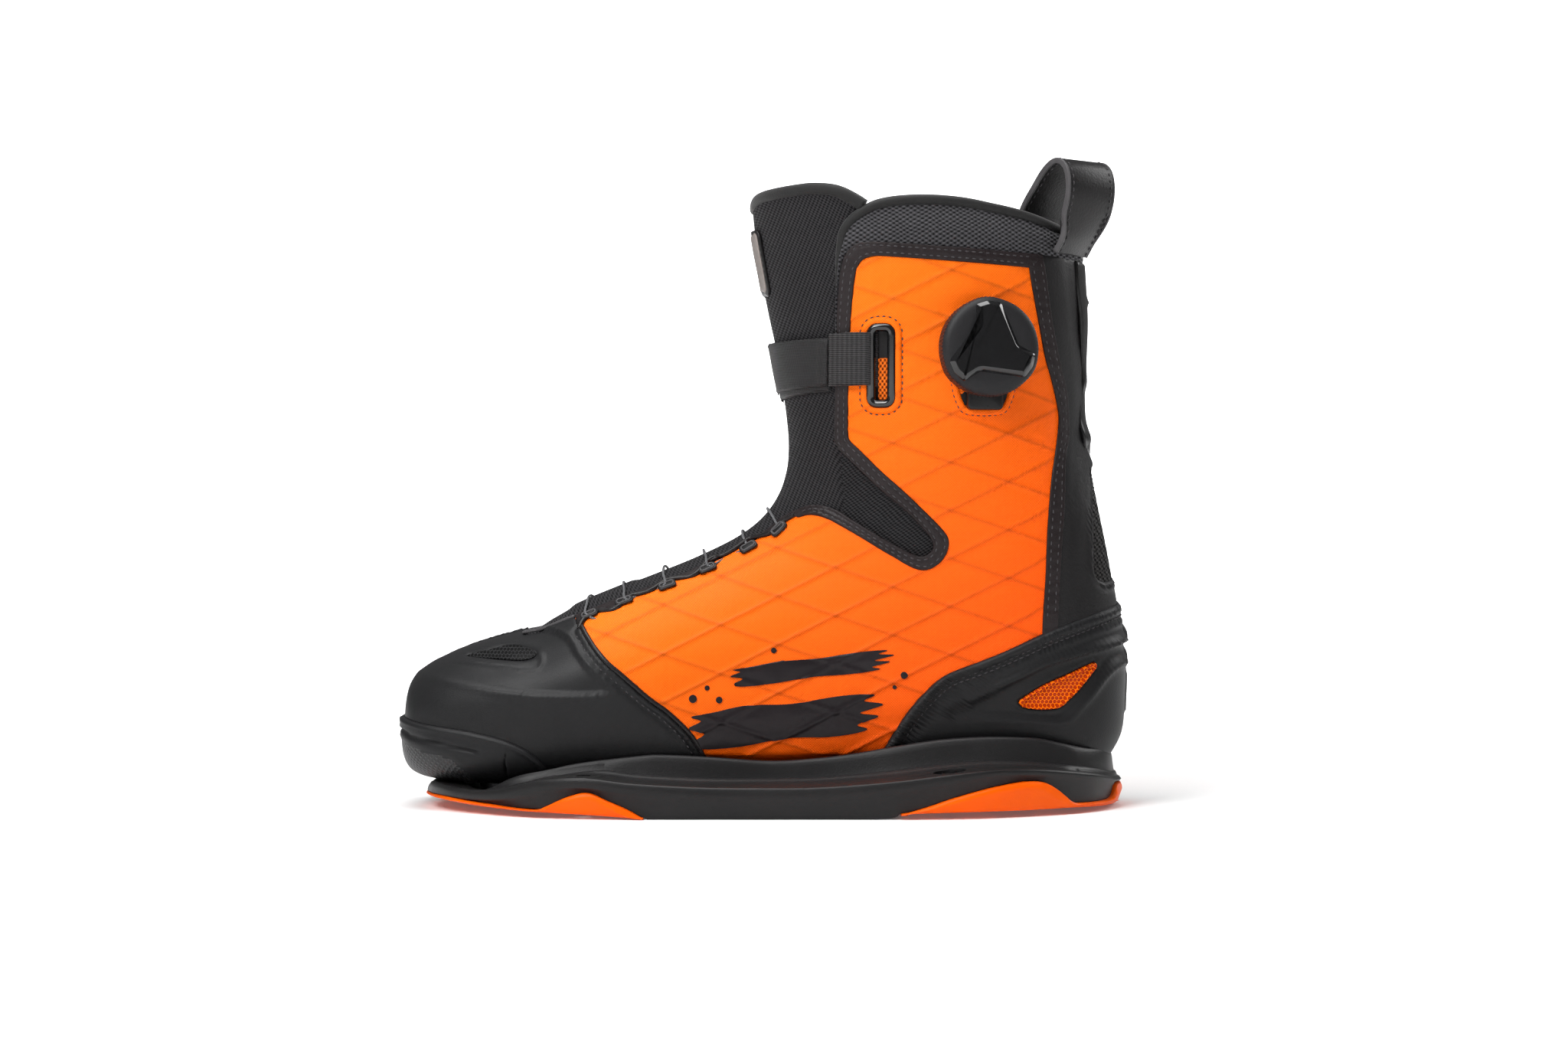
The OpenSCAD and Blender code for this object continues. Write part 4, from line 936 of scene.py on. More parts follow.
def quarter_outline(side):
    edge = side_line(CUFF_TOP, side)
    start = gap_line(side, 0.012, 7.95, 14.0)
    notch = fine_line(beside(NOTCH[1:-1], 1.1), side)[::-1]
    outline = np.vstack([start, notch, side_line([(30, 210), (31, 228), (33, 235.5)], side)[1:-1], edge[:-8],
                         side_line(REAR_SEAM, side)[1:], level(17.4, 9.9, 0.86, side),
                         side_line(TOE_SEAM, side)[::-1][1:-1]])
    return outline, [side_line(slot_outline(0.4), side, closed=True)]


def embossing(s):
    """Raised diamond lines and the slight pillow between them."""
    a, b = lattice_distance(s.x, s.z)
    return bell(a, 0.8) * 0.6 + bell(b, 0.8) * 0.45 + 0.4 * smoothstep(0, 7, np.minimum(a, b))


def slack(s):
    """Long shallow waves of the sewn panel."""
    return 0.35 * np.sin(s.x * 0.043 + 1.0) * np.sin(s.z * 0.051 + 0.4)


def quarter_height(s):
    hidden = smoothstep(1.5, 4, np.interp(s.x, *np.array(COUNTER_TOP).T) - s.z)
    shown = embossing(s) * smoothstep(1.5, 5, s.d) + slack(s) * smoothstep(4, 18, s.d)
    return shown * (1 - hidden) - 0.1 - 1.2 * hidden


LATTICE_POINTS = lattice_points(OUTER)
for side, word in ((OUTER, "outer"), (INNER, "inner")):
    outline, holes = quarter_outline(side)
    extra = LATTICE_POINTS * [1, -side]
    panel(f"quarter_{word}_fabric", outline, quarter_height, -1.5, ORANGE_FABRIC, holes=holes, extra=extra,
          replaces=[f"quarter_{word}"], slot="orange_fabric")

# ---- Toe ----

CREASE = [(-153, 57.5), (-147, 56.3), (-142, 55.8), (-136.5, 55), (-126, 53.3), (-116.5, 52), (-106, 50.8),
          (-96, 50), (-84, 49.8), (-72, 50.2), (-64, 51.4)]
TOE_RIDGE = [(-64, 51.4), (-67.5, 54.5), (-71.5, 58.5), (-76.5, 63.5), (-80, 68), (-82.3, 71.8),
             (-85.5, 74.6), (-90, 76.3), (-96, 77.2), (-104, 76.8), (-112, 74.8), (-125, 71), (-138, 66.2)]
TOE_LEDGE = [(-136, 63.2), (-128, 63), (-120, 62.7), (-110, 61.9), (-103, 61), (-98.8, 60.9), (-96.2, 61.8),
             (-95, 63.6), (-95.2, 65.8), (-97, 68)]


def toe_outline():
    right = np.vstack([level(0, 9.9, 0.88, INNER, 60), side_line(TOE_SEAM, INNER)[::-1][1:-1],
                       gap_line(INNER, 0.006, 7.95, 6.5, 20)])
    tip = np.c_[np.zeros(40), np.linspace(-0.88, 0.88, 40)]
    return np.vstack([tip[1:-1], right, (right * [1, -1])[::-1]])


def toe_height(s):
    facet = s.within(drawn(CREASE + TOE_RIDGE[1:]), np.vstack([smooth(CREASE, 1), smooth(TOE_RIDGE, 1)]))
    fade = smoothstep(-152, -95, s.x)
    recess = -1.3 * smoothstep(-0.2, 1.6, facet) * fade
    crest = 0.45 * bell(facet + 0.8, 0.9) * fade
    crease = 0.3 * bell(s.to(drawn(CREASE)), 2.0) * (1 - smoothstep(-115, -75, s.x))
    vent = s.within(drawn(TOE_VENT, closed=True), smooth(TOE_VENT, 1, True))
    near_vent = -0.6 * (1 - smoothstep(0.0, 3.0, -vent))
    step = 0.8 * bell(s.to(drawn(TOE_LEDGE)), 0.8) * smoothstep(-137, -124, s.x)
    seam_line = s.to(drawn(TOE_SEAM[1:]))
    border = 0.55 * bell(seam_line - 1.3, 1.0) - 0.9 * bell(seam_line - 3.3, 0.9)
    return 0.35 + recess + crest + crease + near_vent + step + border + rolled(s.d, 0.8)


panel("toe_cap_shell", toe_outline(), toe_height, -1.5, SOFT_TOE, tip=True, step=1.3,
      holes=[side_line(TOE_VENT, s, closed=True) for s in (OUTER, INNER)], replaces=["toe_cap"],
      slot="black_rubber")
TOE_THREADS = [(x - 2.4, z - 1.9) for x, z in TOE_SEAM[1:]]
throat = gap_line(INNER, 0.002, 6.45, 7.95, 30)
throat = np.vstack([throat[::-1], throat * [1, -1]])
n = normal(throat[:, 0], throat[:, 1])
sweep("throat_edge", skin(throat[:, 0], throat[:, 1]) + 0.15 * n, n, ring_shape(0.9, 0.75), GREY_EDGE)
stitches("toe_seam_thread", [seam(side_line(TOE_THREADS, s), 0, -0.35) for s in (OUTER, INNER)], THREAD, 1.9,
         2.9, 0.33)
for side, word in ((OUTER, "outer"), (INNER, "inner")):
    line = side_line([(x + 0.6, z + 0.5) for x, z in TOE_SEAM], side)
    n = normal(line[:, 0], line[:, 1])
    sweep(f"toe_piping_{word}", skin(line[:, 0], line[:, 1]) + 0.1 * n, n, ring_shape(1.05, 1.0), SHINY)


def vent_panel(name, vent, border, top, base, material, replaces, slot, lift):
    """Insert with small cells inside a raised plain border, one on each side."""
    def height(s):
        return top + lift * (1 - smoothstep(border * 0.6, border, s.d)) + rolled(s.d, 0.35)

    for side, word in ((OUTER, "outer"), (INNER, "inner")):
        panel(f"{name}_{word}", side_line(vent, side, closed=True), height, base, material, step=0.6,
              rim=0.35, replaces=[replaces] if side == OUTER else (), slot=slot)


vent_panel("toe_vent", TOE_VENT, 0.8, -1.0, -2.4, TOE_MESH, "toe_vents", "black_rubber", 0.15)

# The bumper goes right round the toe: it is made from rays shot outward at the skin
BUMPER_BOTTOM = [(-160, 18.5), (-157, 17.3), (-155, 16.3), (-152, 15), (-147, 13.4), (-140, 12), (-130, 10.6),
                 (-120, 10.5), (-110, 12), (-100, 14.4), (-90, 15.8)]
SLIT = [(-160, 35), (-158, 34.6), (-150, 31.6), (-140, 29.6), (-130, 27.8), (-120.5, 25.8), (-110, 23.5),
        (-90, 16.3)]
GRIP_EDGE = [(-160, 31.5), (-158, 31), (-150, 28), (-141, 26), (-134, 24.6), (-130.5, 22.4), (-126, 18.2),
             (-121.5, 13.6), (-118, 9), (-90, 0)]


def skin_tree():
    us, ts = np.linspace(0, 12, 241), np.linspace(-1, 1, 361)[:-1]
    points = skin(us[:, None], ts[None, :]).reshape(-1, 3)
    m = len(ts)
    faces = [(i * m + j, i * m + (j + 1) % m, (i + 1) * m + (j + 1) % m, (i + 1) * m + j)
             for i in range(len(us) - 1) for j in range(m)]
    return BVHTree.FromPolygons(points.tolist(), faces + [tuple(range(m))])


def bumper():
    tree = skin_tree()
    centre, mid_y, mid_z = -120, 4.0, 33.0
    starts = [((x, mid_y, mid_z), (0, -1)) for x in np.linspace(-90.8, -119, 40)]
    starts += [((centre, mid_y, mid_z), (-math.sin(w), -math.cos(w)))
               for w in np.radians(np.linspace(0, 180, 130))]
    starts += [((x, mid_y, mid_z), (0, 1)) for x in np.linspace(-119, -90.8, 40)]

    def hit(start, way, slope):
        d = Vector((way[0] * math.cos(slope), way[1] * math.cos(slope), math.sin(slope)))
        p = tree.ray_cast(Vector(start), d)[0]
        return np.array(p) if p is not None else None

    def level_of(start, way, table):
        lo, hi = math.radians(-80), math.radians(45)
        for _ in range(22):
            mid = (lo + hi) / 2
            p = hit(start, way, mid)
            if p is None or p[2] < np.interp(p[0], *np.array(table).T):
                lo = mid
            else:
                hi = mid
        return (lo + hi) / 2

    rows = 64
    grid = []
    for start, way in starts:
        top, bottom = level_of(start, way, BUMPER_TOP), level_of(start, way, BUMPER_BOTTOM)
        grid.append([hit(start, way, top + (bottom - top) * f) for f in np.linspace(0, 1, rows)])
    p = np.array(grid)
    n = unit(np.cross(np.gradient(p, axis=0), np.gradient(p, axis=1)))
    n *= np.sign((n * (p - [centre + 10, mid_y, mid_z])).sum(-1))[..., None]
    x, z = p[..., 0], p[..., 2]
    under_top = np.interp(x, *np.array(BUMPER_TOP).T) - z
    from_slit = np.interp(x, *np.array(SLIT).T) - z
    from_grip = np.interp(x, *np.array(GRIP_EDGE).T) - z
    ends = 1 - smoothstep(-124, -119.5, x)
    grip_ends = 1 - smoothstep(-131, -121.5, x)
    drop = np.minimum(under_top, z - np.interp(x, *np.array(BUMPER_BOTTOM).T))
    shape = 2.15 + 0.5 * bell(under_top - 1.3, 1.3) + rolled(drop, 1.3)
    shape += (-2.3 * bell(from_slit, 0.55) + 0.4 * bell(from_slit + 1.3, 0.8)) * ends
    shape += (-0.45 * smoothstep(-0.4, 0.8, from_grip) + 0.2 * bell(from_grip + 0.7, 0.7)) * grip_ends
    shape *= np.minimum(smoothstep(-90.3, -95, x) + 0.25, 1)
    outer, inner = p + n * shape[..., None], p - 0.3 * n
    a, b = x.shape
    points = np.vstack([outer.reshape(-1, 3), inner.reshape(-1, 3)])
    k = a * b
    faces = []
    for i in range(a - 1):
        for j in range(b - 1):
            q = [i * b + j, i * b + j + 1, (i + 1) * b + j + 1, (i + 1) * b + j]
            faces += [q, [v + k for v in q[::-1]]]
    rim = [i * b for i in range(a)] + [(a - 1) * b + j for j in range(1, b)] \
        + [i * b + b - 1 for i in range(a - 2, -1, -1)] + [j for j in range(b - 2, 0, -1)]
    for v, w in zip(rim, rim[1:] + rim[:1]):
        faces.append([v, w, w + k, v + k])
    run = np.cumsum(np.r_[0, np.linalg.norm(np.diff(p[:, b // 2], axis=0), axis=1)])
    uv = np.stack([np.broadcast_to(run[:, None], x.shape), z], -1).reshape(-1, 2)
    o = mesh_object("toe_bumper_shell", points, faces, RUBBER, uv=np.vstack([uv, uv]),
                    replaces=["toe_bumper"], slot="black_rubber")
    turn_out(o)
    o.data.materials.append(KNURLED)
    grip = ((from_grip > 0.8) & (x < -118)).reshape(-1)
    for face in o.data.polygons:
        if all(v < k and grip[v] for v in face.vertices):
            face.material_index = 1


bumper()

# ---- Heel and back ----

WING_TOP = [(79, 45), (87, 48.8), (97.5, 53.8), (107, 58.3), (116.5, 63), (126.5, 66.5), (137, 69.8),
            (147.5, 72.4), (152, 73.8), (158, 74.5)]
WING_LOW = [(74.5, 39.4), (87, 39.8), (97, 39.8), (107, 39.6), (117, 38.8), (123.5, 38.6), (128, 40.8),
            (132, 45.3), (137.5, 51.5), (142.5, 58), (147.5, 62.3), (152, 64), (158, 64.6)]


def counter_outline():
    bottom = side_line([(143.3, 20.5), (135, 18.5), (114, 17.5), (84, 17.5), (56, 18.5)], INNER)
    half = np.vstack([bottom, side_line(COUNTER_TOP, INNER)[1:]])
    vent = side_line(beside(HEEL_VENT, -0.25, closed=True), INNER, closed=True)
    return round_back(half), [vent, np.c_[vent[:, 0], 2 - vent[:, 1]]]


def counter_height(s):
    top = s.to(drawn(COUNTER_TOP))
    lip = 0.45 * bell(top - 1.6, 1.5)
    groove = -1.0 * (smoothstep(2.9, 3.4, top) - smoothstep(6.2, 6.5, top))
    upper, lower = s.to(drawn(WING_TOP)), s.to(drawn(WING_LOW))
    wing = inside(s.p[:, ::2], np.vstack([smooth(WING_TOP, 1), smooth(WING_LOW, 1)[::-1]]))
    rear = smoothstep(112, 152, s.x)
    facet = np.where(wing, -1.5 * smoothstep(0, 3.5, np.minimum(upper, lower)), 0)
    start = smoothstep(77, 92, s.x)
    ribs = (0.75 * start + 1.9 * rear) * bell(upper, 1.1 + 0.6 * rear) \
        + (0.25 * start + 1.5 * rear) * bell(lower, 1.5 + 0.7 * rear)
    above = np.where(~wing & (s.z > np.interp(s.x, *np.array(WING_TOP).T)),
                     -0.55 * bell(upper - 3.2, 2.4) * start, 0)
    vent = s.within(drawn(HEEL_VENT, closed=True), smooth(HEEL_VENT, 1, True))
    around = 0.45 * bell(vent + 1.0, 0.9)
    spine = 0.9 * smoothstep(-8, -6.6, s.y) * smoothstep(41.5, 43, s.z) * (1
            - smoothstep(59, 60.5, s.z)) * (s.x > 120)
    swell = 0.5 * bell(s.z - 34, 9) * smoothstep(70, 120, s.x)
    return 1.75 + lip + groove + facet * (1 - 0.4
                                          * rear) + ribs + above + around + spine + swell + rolled(s.d, 1.2)


outline, holes = counter_outline()
panel("heel_counter_shell", outline, counter_height, 0.05, RUBBER, holes=holes, step=1.25,
      replaces=["heel_counter"], slot="black_rubber")
rows = [fine_line(beside(COUNTER_TOP, -by), s) for by in (3.9, 5.4) for s in (OUTER, INNER)]
stitches("heel_counter_thread", [seam(r[4:], 0, 0.95) for r in rows], THREAD, 1.9, 2.7, 0.3)
vent_panel("heel_vent", HEEL_VENT, 1.5, 0.6, -0.4, HEEL_MESH, "heel_vents", "grip_orange", 0.8)

WINDOW = [(142, 149), (140.3, 147), (139.3, 142), (139, 122), (139.2, 104), (140.2, 99.6), (142.8, 97.2),
          (146.5, 96.7), (151.5, 98.5)]
REAR_EDGE = [(116.3, 236), (118, 227), (120, 212.5), (121.8, 202.5), (125, 188), (127.5, 178.5),
             (128.3, 168.5), (128.3, 159), (126.6, 149), (126, 130), (124.5, 110), (124, 101), (123, 78),
             (123, 72)]


def back_outline():
    seam_side = side_line([(x + 0.3, z) for x, z in REAR_SEAM], INNER)[::-1]
    half = np.vstack([side_line([(153.8, 74), (140, 72), (120, 69)], INNER)[:-1], seam_side,
                      side_line([(112, 236), (125, 235.6), (137.5, 235)], INNER)[1:]])
    return round_back(half), [round_back(side_line(WINDOW, INNER))]


def back_height(s):
    window = s.to(drawn(WINDOW))
    rim = 0.75 * bell(window - 1.7, 1.3) * (s.x > 134)
    crease = -0.35 * bell(s.x - (131 + 3 * np.sin(s.z * 0.045)), 2.0)
    wave = 0.3 * np.sin(s.z * 0.11 + 0.5) * smoothstep(126, 134, s.x)
    return 0.25 + rim + crease + wave + rolled(s.d, 0.6)


outline, holes = back_outline()
panel("back_shell", outline, back_height, -1.5, SYNTHETIC, holes=holes, step=1.6, replaces=["back_panel"],
      slot="black_synthetic")
window_out = beside(WINDOW, -1.0)
panel("achilles_mesh", round_back(fine_line(window_out, INNER)),
      lambda s: -0.75 + 0.16 * np.sin(s.z * 2 * math.pi / 1.9), -1.9, GUSSET_MESH, step=0.8,
      replaces=["achilles_gusset"], slot="black_mesh")

STAY_EDGE = [(138.5, 152), (135.8, 156), (134.3, 163), (134.3, 171), (135.3, 180), (135.2, 190), (134.2, 200),
             (133.4, 212), (132.2, 224), (131.4, 234.6)]


def stay_height(s):
    body = 0.35 + 1.15 * smoothstep(177, 184, s.z) + 1.5 * bell(s.z - 160, 4.0)
    snag = 0.9 * bell(s.z - 218.3, 1.3) * smoothstep(-14, -4, s.y)
    wave = 0.25 * np.sin(s.z * 0.19) * smoothstep(184, 190, s.z)
    return body + snag + wave + rolled(s.d, 0.9)


half = np.vstack([side_line(STAY_EDGE, INNER), side_line([(131.4, 234.6), (137.5, 234.4)], INNER)[1:]])
panel("back_stay_shell", round_back(half), stay_height, 0.1, SATIN, step=1.3, replaces=["back_stay"],
      slot="black_synthetic")


def strip_height(s):
    return 0.8 - 0.22 * bell(s.d - 1.5, 0.5) + 0.12 * np.sin(s.z * 1.3) * np.sin(s.z * 0.37
            + 1) + rolled(s.d, 0.5)


for side, word in ((OUTER, "outer"), (INNER, "inner")):
    strip = np.vstack([side_line([(x - 0.3, z) for x, z in REAR_SEAM], side),
                       side_line(REAR_EDGE, side)[::-1]])
    panel(f"rear_trim_{word}", strip, strip_height, 0.05, TRIM, step=1.2,
          replaces=["rear_trims"] if side < 0 else (), slot="black_synthetic")
rows = [fine_line(beside(REAR_SEAM, 1.5), s) for s in (OUTER, INNER)] + \
       [fine_line(beside(REAR_EDGE, -1.5), s) for s in (OUTER, INNER)]
stitches("rear_trim_thread", [seam(r[3:-12], 0, 0.62) for r in rows], THREAD, 2.1, 3.3, 0.3)

# ---- Small solids ----

def slab(outline, z0, z1, bevel=0.5, steps=3):
    """Points and faces of a plate with a flat outline, its upper edge rounded over."""
    o = np.asarray(outline, float)
    if np.sum(o[:, 0] * np.roll(o[:, 1], -1) - o[:, 1] * np.roll(o[:, 0], -1)) < 0:
        o = o[::-1]
    d = unit(np.roll(o, -1, 0) - np.roll(o, 1, 0))
    out = np.c_[d[:, 1], -d[:, 0]]
    rings = [np.c_[o, np.full(len(o), z0)]]
    for k in range(steps + 1):
        w = math.pi / 2 * k / steps
        rings.append(np.c_[o - out * bevel * (1 - math.cos(w)),
                           np.full(len(o), z1 - bevel + bevel * math.sin(w))])
    n = len(o)
    faces = [list(range(n))[::-1], [(len(rings) - 1) * n + j for j in range(n)]]
    for i in range(len(rings) - 1):
        faces += [[i * n + j, i * n + (j + 1) % n, (i + 1) * n + (j + 1) % n, (i + 1) * n + j]
                  for j in range(n)]
    return np.vstack(rings), faces


def turned(profile, steps=64):
    """Points and faces of a closed radius, height profile turned about Z."""
    p = np.asarray(profile, float)
    m = len(p)
    points = []
    for k in range(steps):
        w = 2 * math.pi * k / steps
        points += [(r * math.cos(w), r * math.sin(w), z) for r, z in p]
    faces = []
    for k in range(steps):
        q = (k + 1) % steps
        faces += [[k * m + j, q * m + j, q * m + (j + 1) % m, k * m + (j + 1) % m] for j in range(m)]
    return np.array(points), faces


def tube(path, up, shape, closed=False, grow=None):
    """Points and faces of a swept tube."""
    path, up, shape = np.asarray(path, float), np.asarray(up, float), np.asarray(shape, float)
    n, m = len(path), len(shape)
    ahead = np.roll(path, -1, 0) if closed else np.vstack([path[1:], path[-1:]])
    behind = np.roll(path, 1, 0) if closed else np.vstack([path[:1], path[:-1]])
    along = unit(ahead - behind)
    up = unit(up - along * (up * along).sum(1, keepdims=True))
    across = np.cross(along, up)
    size = (np.ones(n) if grow is None else grow)[:, None, None]
    points = (path[:, None] + (shape[None, :, :1] * across[:, None] + shape[None, :, 1:] * up[:, None])
              * size)
    faces = []
    for i in range(n if closed else n - 1):
        k = (i + 1) % n
        faces += [[i * m + j, i * m + (j + 1) % m, k * m + (j + 1) % m, k * m + j] for j in range(m)]
    if not closed:
        faces += [list(range(m))[::-1], [(n - 1) * m + j for j in range(m)]]
    return points.reshape(-1, 3), faces


def merged(name, parts, material, sharp=None, **place):
    """One object from several lists of points and faces."""
    points, faces, start = [], [], 0
    for p, f in parts:
        points.append(p)
        faces += [[v + start for v in face] for face in f]
        start += len(p)
    o = mesh_object(name, np.vstack(points), faces, material, **place)
    turn_out(o)
    if sharp:
        o.data.set_sharp_from_angle(angle=math.radians(sharp))
    return o


def set_on(part, origin, x, z):
    """A part's points moved to a place with the given X and Z directions."""
    points, faces = part
    y = np.cross(z, x)
    return origin + points @ np.stack([x, y, z]), faces


def on_boot(part, u, t, out):
    """A part set on the skin: its X runs up the boot and its Z points outward."""
    x = unit(skin(u + 0.05, t, out) - skin(u - 0.05, t, out))
    z = normal(u, t, out)
    x = unit(x - z * float(x @ z))
    return set_on(part, skin(u, t, out), x, z)


def rounded(hx, hy, r, n=5):
    """Rounded rectangle with half sizes hx, hy."""
    made = []
    for sx, sy, a in ((1, 1, 0), (-1, 1, 90), (-1, -1, 180), (1, -1, 270)):
        for w in np.radians(np.linspace(a, a + 90, n)):
            made.append((sx * (hx - r) + r * math.cos(w), sy * (hy - r) + r * math.sin(w)))
    return np.array(made)


# ---- Stitched trims ----

TRIM_IN = NOTCH[::-1] + [(30.2, 217), (31.3, 228), (33.2, 235)] + CUFF_TOP[2:]
TRIM_OUT = NOTCH_OUT[::-1] + [(37, 224), (38, 229), (40.2, 232.6), (44.5, 234.2), (50, 234.2), (67, 233),
                              (87, 231.6),
                              (106, 230.3), (112.5, 230)]


def trim_height(s):
    wrinkle = 0.1 * np.sin(s.x * 1.9 + s.z * 0.7) * np.sin(s.z * 1.1 - s.x * 0.4)
    return 0.95 - 0.3 * bell(s.d - 1.5, 0.55) + wrinkle + rolled(s.d, 0.6)


for side, word in ((OUTER, "outer"), (INNER, "inner")):
    outline = np.vstack([side_line(TRIM_IN, side), side_line(TRIM_OUT, side)[::-1]])
    panel(f"notch_trim_{word}", outline, trim_height, 0.05, TRIM, step=1.0, replaces=[f"trim_{word}"],
          slot="black_synthetic")
rows = [fine_line(beside(TRIM_IN, -by), s)[6:-4] for by in (1.55,) for s in (OUTER, INNER)] + \
       [fine_line(beside(TRIM_OUT, by), s)[6:-4] for by in (1.6,) for s in (OUTER, INNER)]
stitches("trim_thread", [seam(r, 0, 0.78) for r in rows], THREAD, 2.0, 3.0, 0.3)

# ---- Facings, guides and lace ----

LACE_ROWS = [13.3, 12.2, 11.1, 10.1, 9.1, 8.3]


def guide_t(u):
    return float(np.interp(u, TONGUE_GAP[:, 0], TONGUE_GAP[:, 1])) + 0.038


GUIDE_SPOTS = skin(np.array(LACE_ROWS), -np.array([guide_t(u) for u in LACE_ROWS]))


def facing_height(s):
    wrinkle = 0.12 * np.sin(s.x * 1.3) * np.sin(s.z * 1.7 + 1)
    return 0.85 + 0.45 * bell(s.to(GUIDE_SPOTS), 4.0) + wrinkle + rolled(s.d, 0.6)


for side, word in ((OUTER, "outer"), (INNER, "inner")):
    outline = np.vstack([side_line(SCALLOP, side), gap_line(side, 0.003, 7.95, 14.05)])
    panel(f"facing_{word}", outline, facing_height, 0.05, TRIM, step=1.0,
          replaces=["lace_facings"] if side < 0 else (), slot="black_synthetic")
    line = side_line(SCALLOP[1:], side)
    n = normal(line[:, 0], line[:, 1])
    path = skin(line[:, 0], line[:, 1]) + 0.55 * n
    near = np.array([np.min(np.linalg.norm(GUIDE_SPOTS * [1, side * -1, 1] - p, axis=1)) for p in path])
    sweep(f"facing_piping_{word}", path, n, ring_shape(1.0, 0.95), SHINY,
          grow=0.8 + 0.5 * bell(near - 3, 5.5))

loops, plates = [], []
for i, u in enumerate(LACE_ROWS):
    for side in (OUTER, INNER):
        t = side * guide_t(u)
        ring = rounded(3.0, 1.6, 1.1)
        ring3 = np.c_[ring, np.full(len(ring), 0.45)]
        loops.append(on_boot(tube(ring3, np.tile([0, 0, 1.0], (len(ring), 1)), ring_shape(0.45, 0.4, 8),
                                  True), u, t, 1.2))
        plates.append(on_boot(slab(rounded(4.0, 2.6, 1.5), -0.5, 0.4, 0.4), u, t, 1.2))
merged("lace_guide_loops", loops, GREY_EDGE, replaces=["lace_guides"], slot="gloss_black")
merged("lace_guide_plates", plates, SATIN)

LACE_TOP, LACE_DEPTH = 1.35, -2.6
DIAL_U, DIAL_T, DIAL_TILT = 22.5, -0.588, math.radians(9)
DIAL_FOOT = skin(DIAL_U, DIAL_T)
DIAL_X = np.array([math.cos(DIAL_TILT), math.sin(DIAL_TILT), 0])
DIAL_Z = np.array([math.sin(DIAL_TILT), -math.cos(DIAL_TILT), 0])
LACE_OUT = [(20.6, -0.62), (19.6, -0.6), (18.4, -0.58), (17.2, -0.54), (16, -0.46), (15, -0.36),
            (14.2, -0.27)]
LACE_BACK = [(9.4, -0.3), (10.8, -0.37), (12.4, -0.44), (14, -0.5), (15.6, -0.55), (17.2, -0.6),
             (18.6, -0.64), (19.8, -0.66), (20.7, -0.65)]
LACE_IN = [(0.62, -9.8, 2.9), (0.62, -15, 2.9), (0.62, -19.5, 2.6), (0.8, -22.5, 0.2), (1.2, -25, -3.4)]


def dial_place(points):
    return DIAL_FOOT + np.asarray(points, float) @ np.stack([DIAL_X, [0, 0, 1], DIAL_Z])


route = [dial_place([(-x, y, z) for x, y, z in LACE_IN]), [skin(u, t, LACE_DEPTH) for u, t in LACE_OUT],
         [skin(13.6, -0.21, -1.2)]]
for i, u in enumerate(LACE_ROWS):
    g = guide_t(u) * (-1 if i % 2 == 0 else 1)
    over = LACE_TOP if u < 12 else LACE_TOP - 0.5
    route.append([skin(u + 0.06 * f, g * f, over + 0.1 * (1 - f * f)) for f in np.arange(1, -1.1, -0.4)])
    if i + 1 < len(LACE_ROWS):
        between = (u + LACE_ROWS[i + 1]) / 2
        route.append([skin(between, -np.sign(g) * (guide_t(between) - 0.03), -1.0)])
route += [[skin(8.6, -0.24, -1.2)], [skin(u, t, LACE_DEPTH) for u, t in LACE_BACK], dial_place(LACE_IN)[::-1]]
lace_line = smooth(np.vstack(route), 1.0)
sweep("lace_cable", lace_line, lace_line - [25, 0, 90], ring_shape(0.55, n=10), LACE, replaces=["lace"],
      slot="lace_steel")

# ---- Tongue ----

TONGUE_TOP = [(-6.9, 259.6), (-5.5, 261.2), (-3, 262), (0, 262.4), (10, 263.2), (18, 263.6), (25, 263),
              (30, 261.7), (36, 258.6), (40, 256)]


def tongue_spread(u):
    return 0.032 + 0.035 * bell(u - 15.8, 1.3)


def tongue_outline():
    u = np.linspace(6.1, 24.7, 126)
    edge = np.c_[u, np.interp(u, TONGUE_GAP[:, 0], TONGUE_GAP[:, 1]) + tongue_spread(u)]
    half = np.vstack([edge, side_line(TONGUE_TOP, INNER)[::-1]])
    return np.vstack([half, (half * [1, -1])[::-1]])


def tongue_height(s):
    edge = np.interp(s.u, TONGUE_GAP[:, 0], TONGUE_GAP[:, 1]) + tongue_spread(s.u)
    under = smoothstep(edge - 0.035, edge - 0.005, np.abs(s.t))
    pad = 0.35 * np.sin(s.z * 0.09) * smoothstep(150, 170, s.z) * (1 - under)
    flap = 0.9 * (smoothstep(-87, -83, s.x) - smoothstep(-59, -55, s.x)) * (1
            - smoothstep(0.1, 0.15, np.abs(s.t)))
    throat = -1.9 * (1 - smoothstep(6.5, 7.3, s.u))
    return -0.1 - 2.6 * under + pad + flap + throat


panel("tongue_shell", tongue_outline(), tongue_height, -4.5, KNIT, step=1.6, replaces=["tongue"],
      slot="black_mesh")
top_line = side_line(TONGUE_TOP, INNER)
top_line = np.vstack([top_line[::-1], top_line[1:] * [1, -1]])
w = np.linspace(0, 2 * np.pi, 20, endpoint=False)
squarish = np.c_[2.7 * np.sign(np.cos(w)) * np.abs(np.cos(w)) ** 0.75,
                 2.95 * np.sign(np.sin(w)) * np.abs(np.sin(w)) ** 0.75]
path = smooth(even(skin(top_line[:, 0], top_line[:, 1], -2.2), 2.5), 1.2)
sweep("tongue_top_binding", path, path - [60, 0, 262], squarish, NEOPRENE, replaces=["tongue_binding"],
      slot="black_synthetic")
badge = np.array([(23.4 + 0.88 * x, 0.1 * y) for x, y in rounded(1, 1, 0.25, 6)])
panel("badge_edge", badge, lambda s: 1.5 + rolled(s.d, 0.6), 0.3, SATIN, step=1.2, replaces=["tongue_badge"],
      slot="badge")
badge_face = np.array([(23.4 + 0.8 * x, 0.088 * y) for x, y in rounded(1, 1, 0.22, 6)])
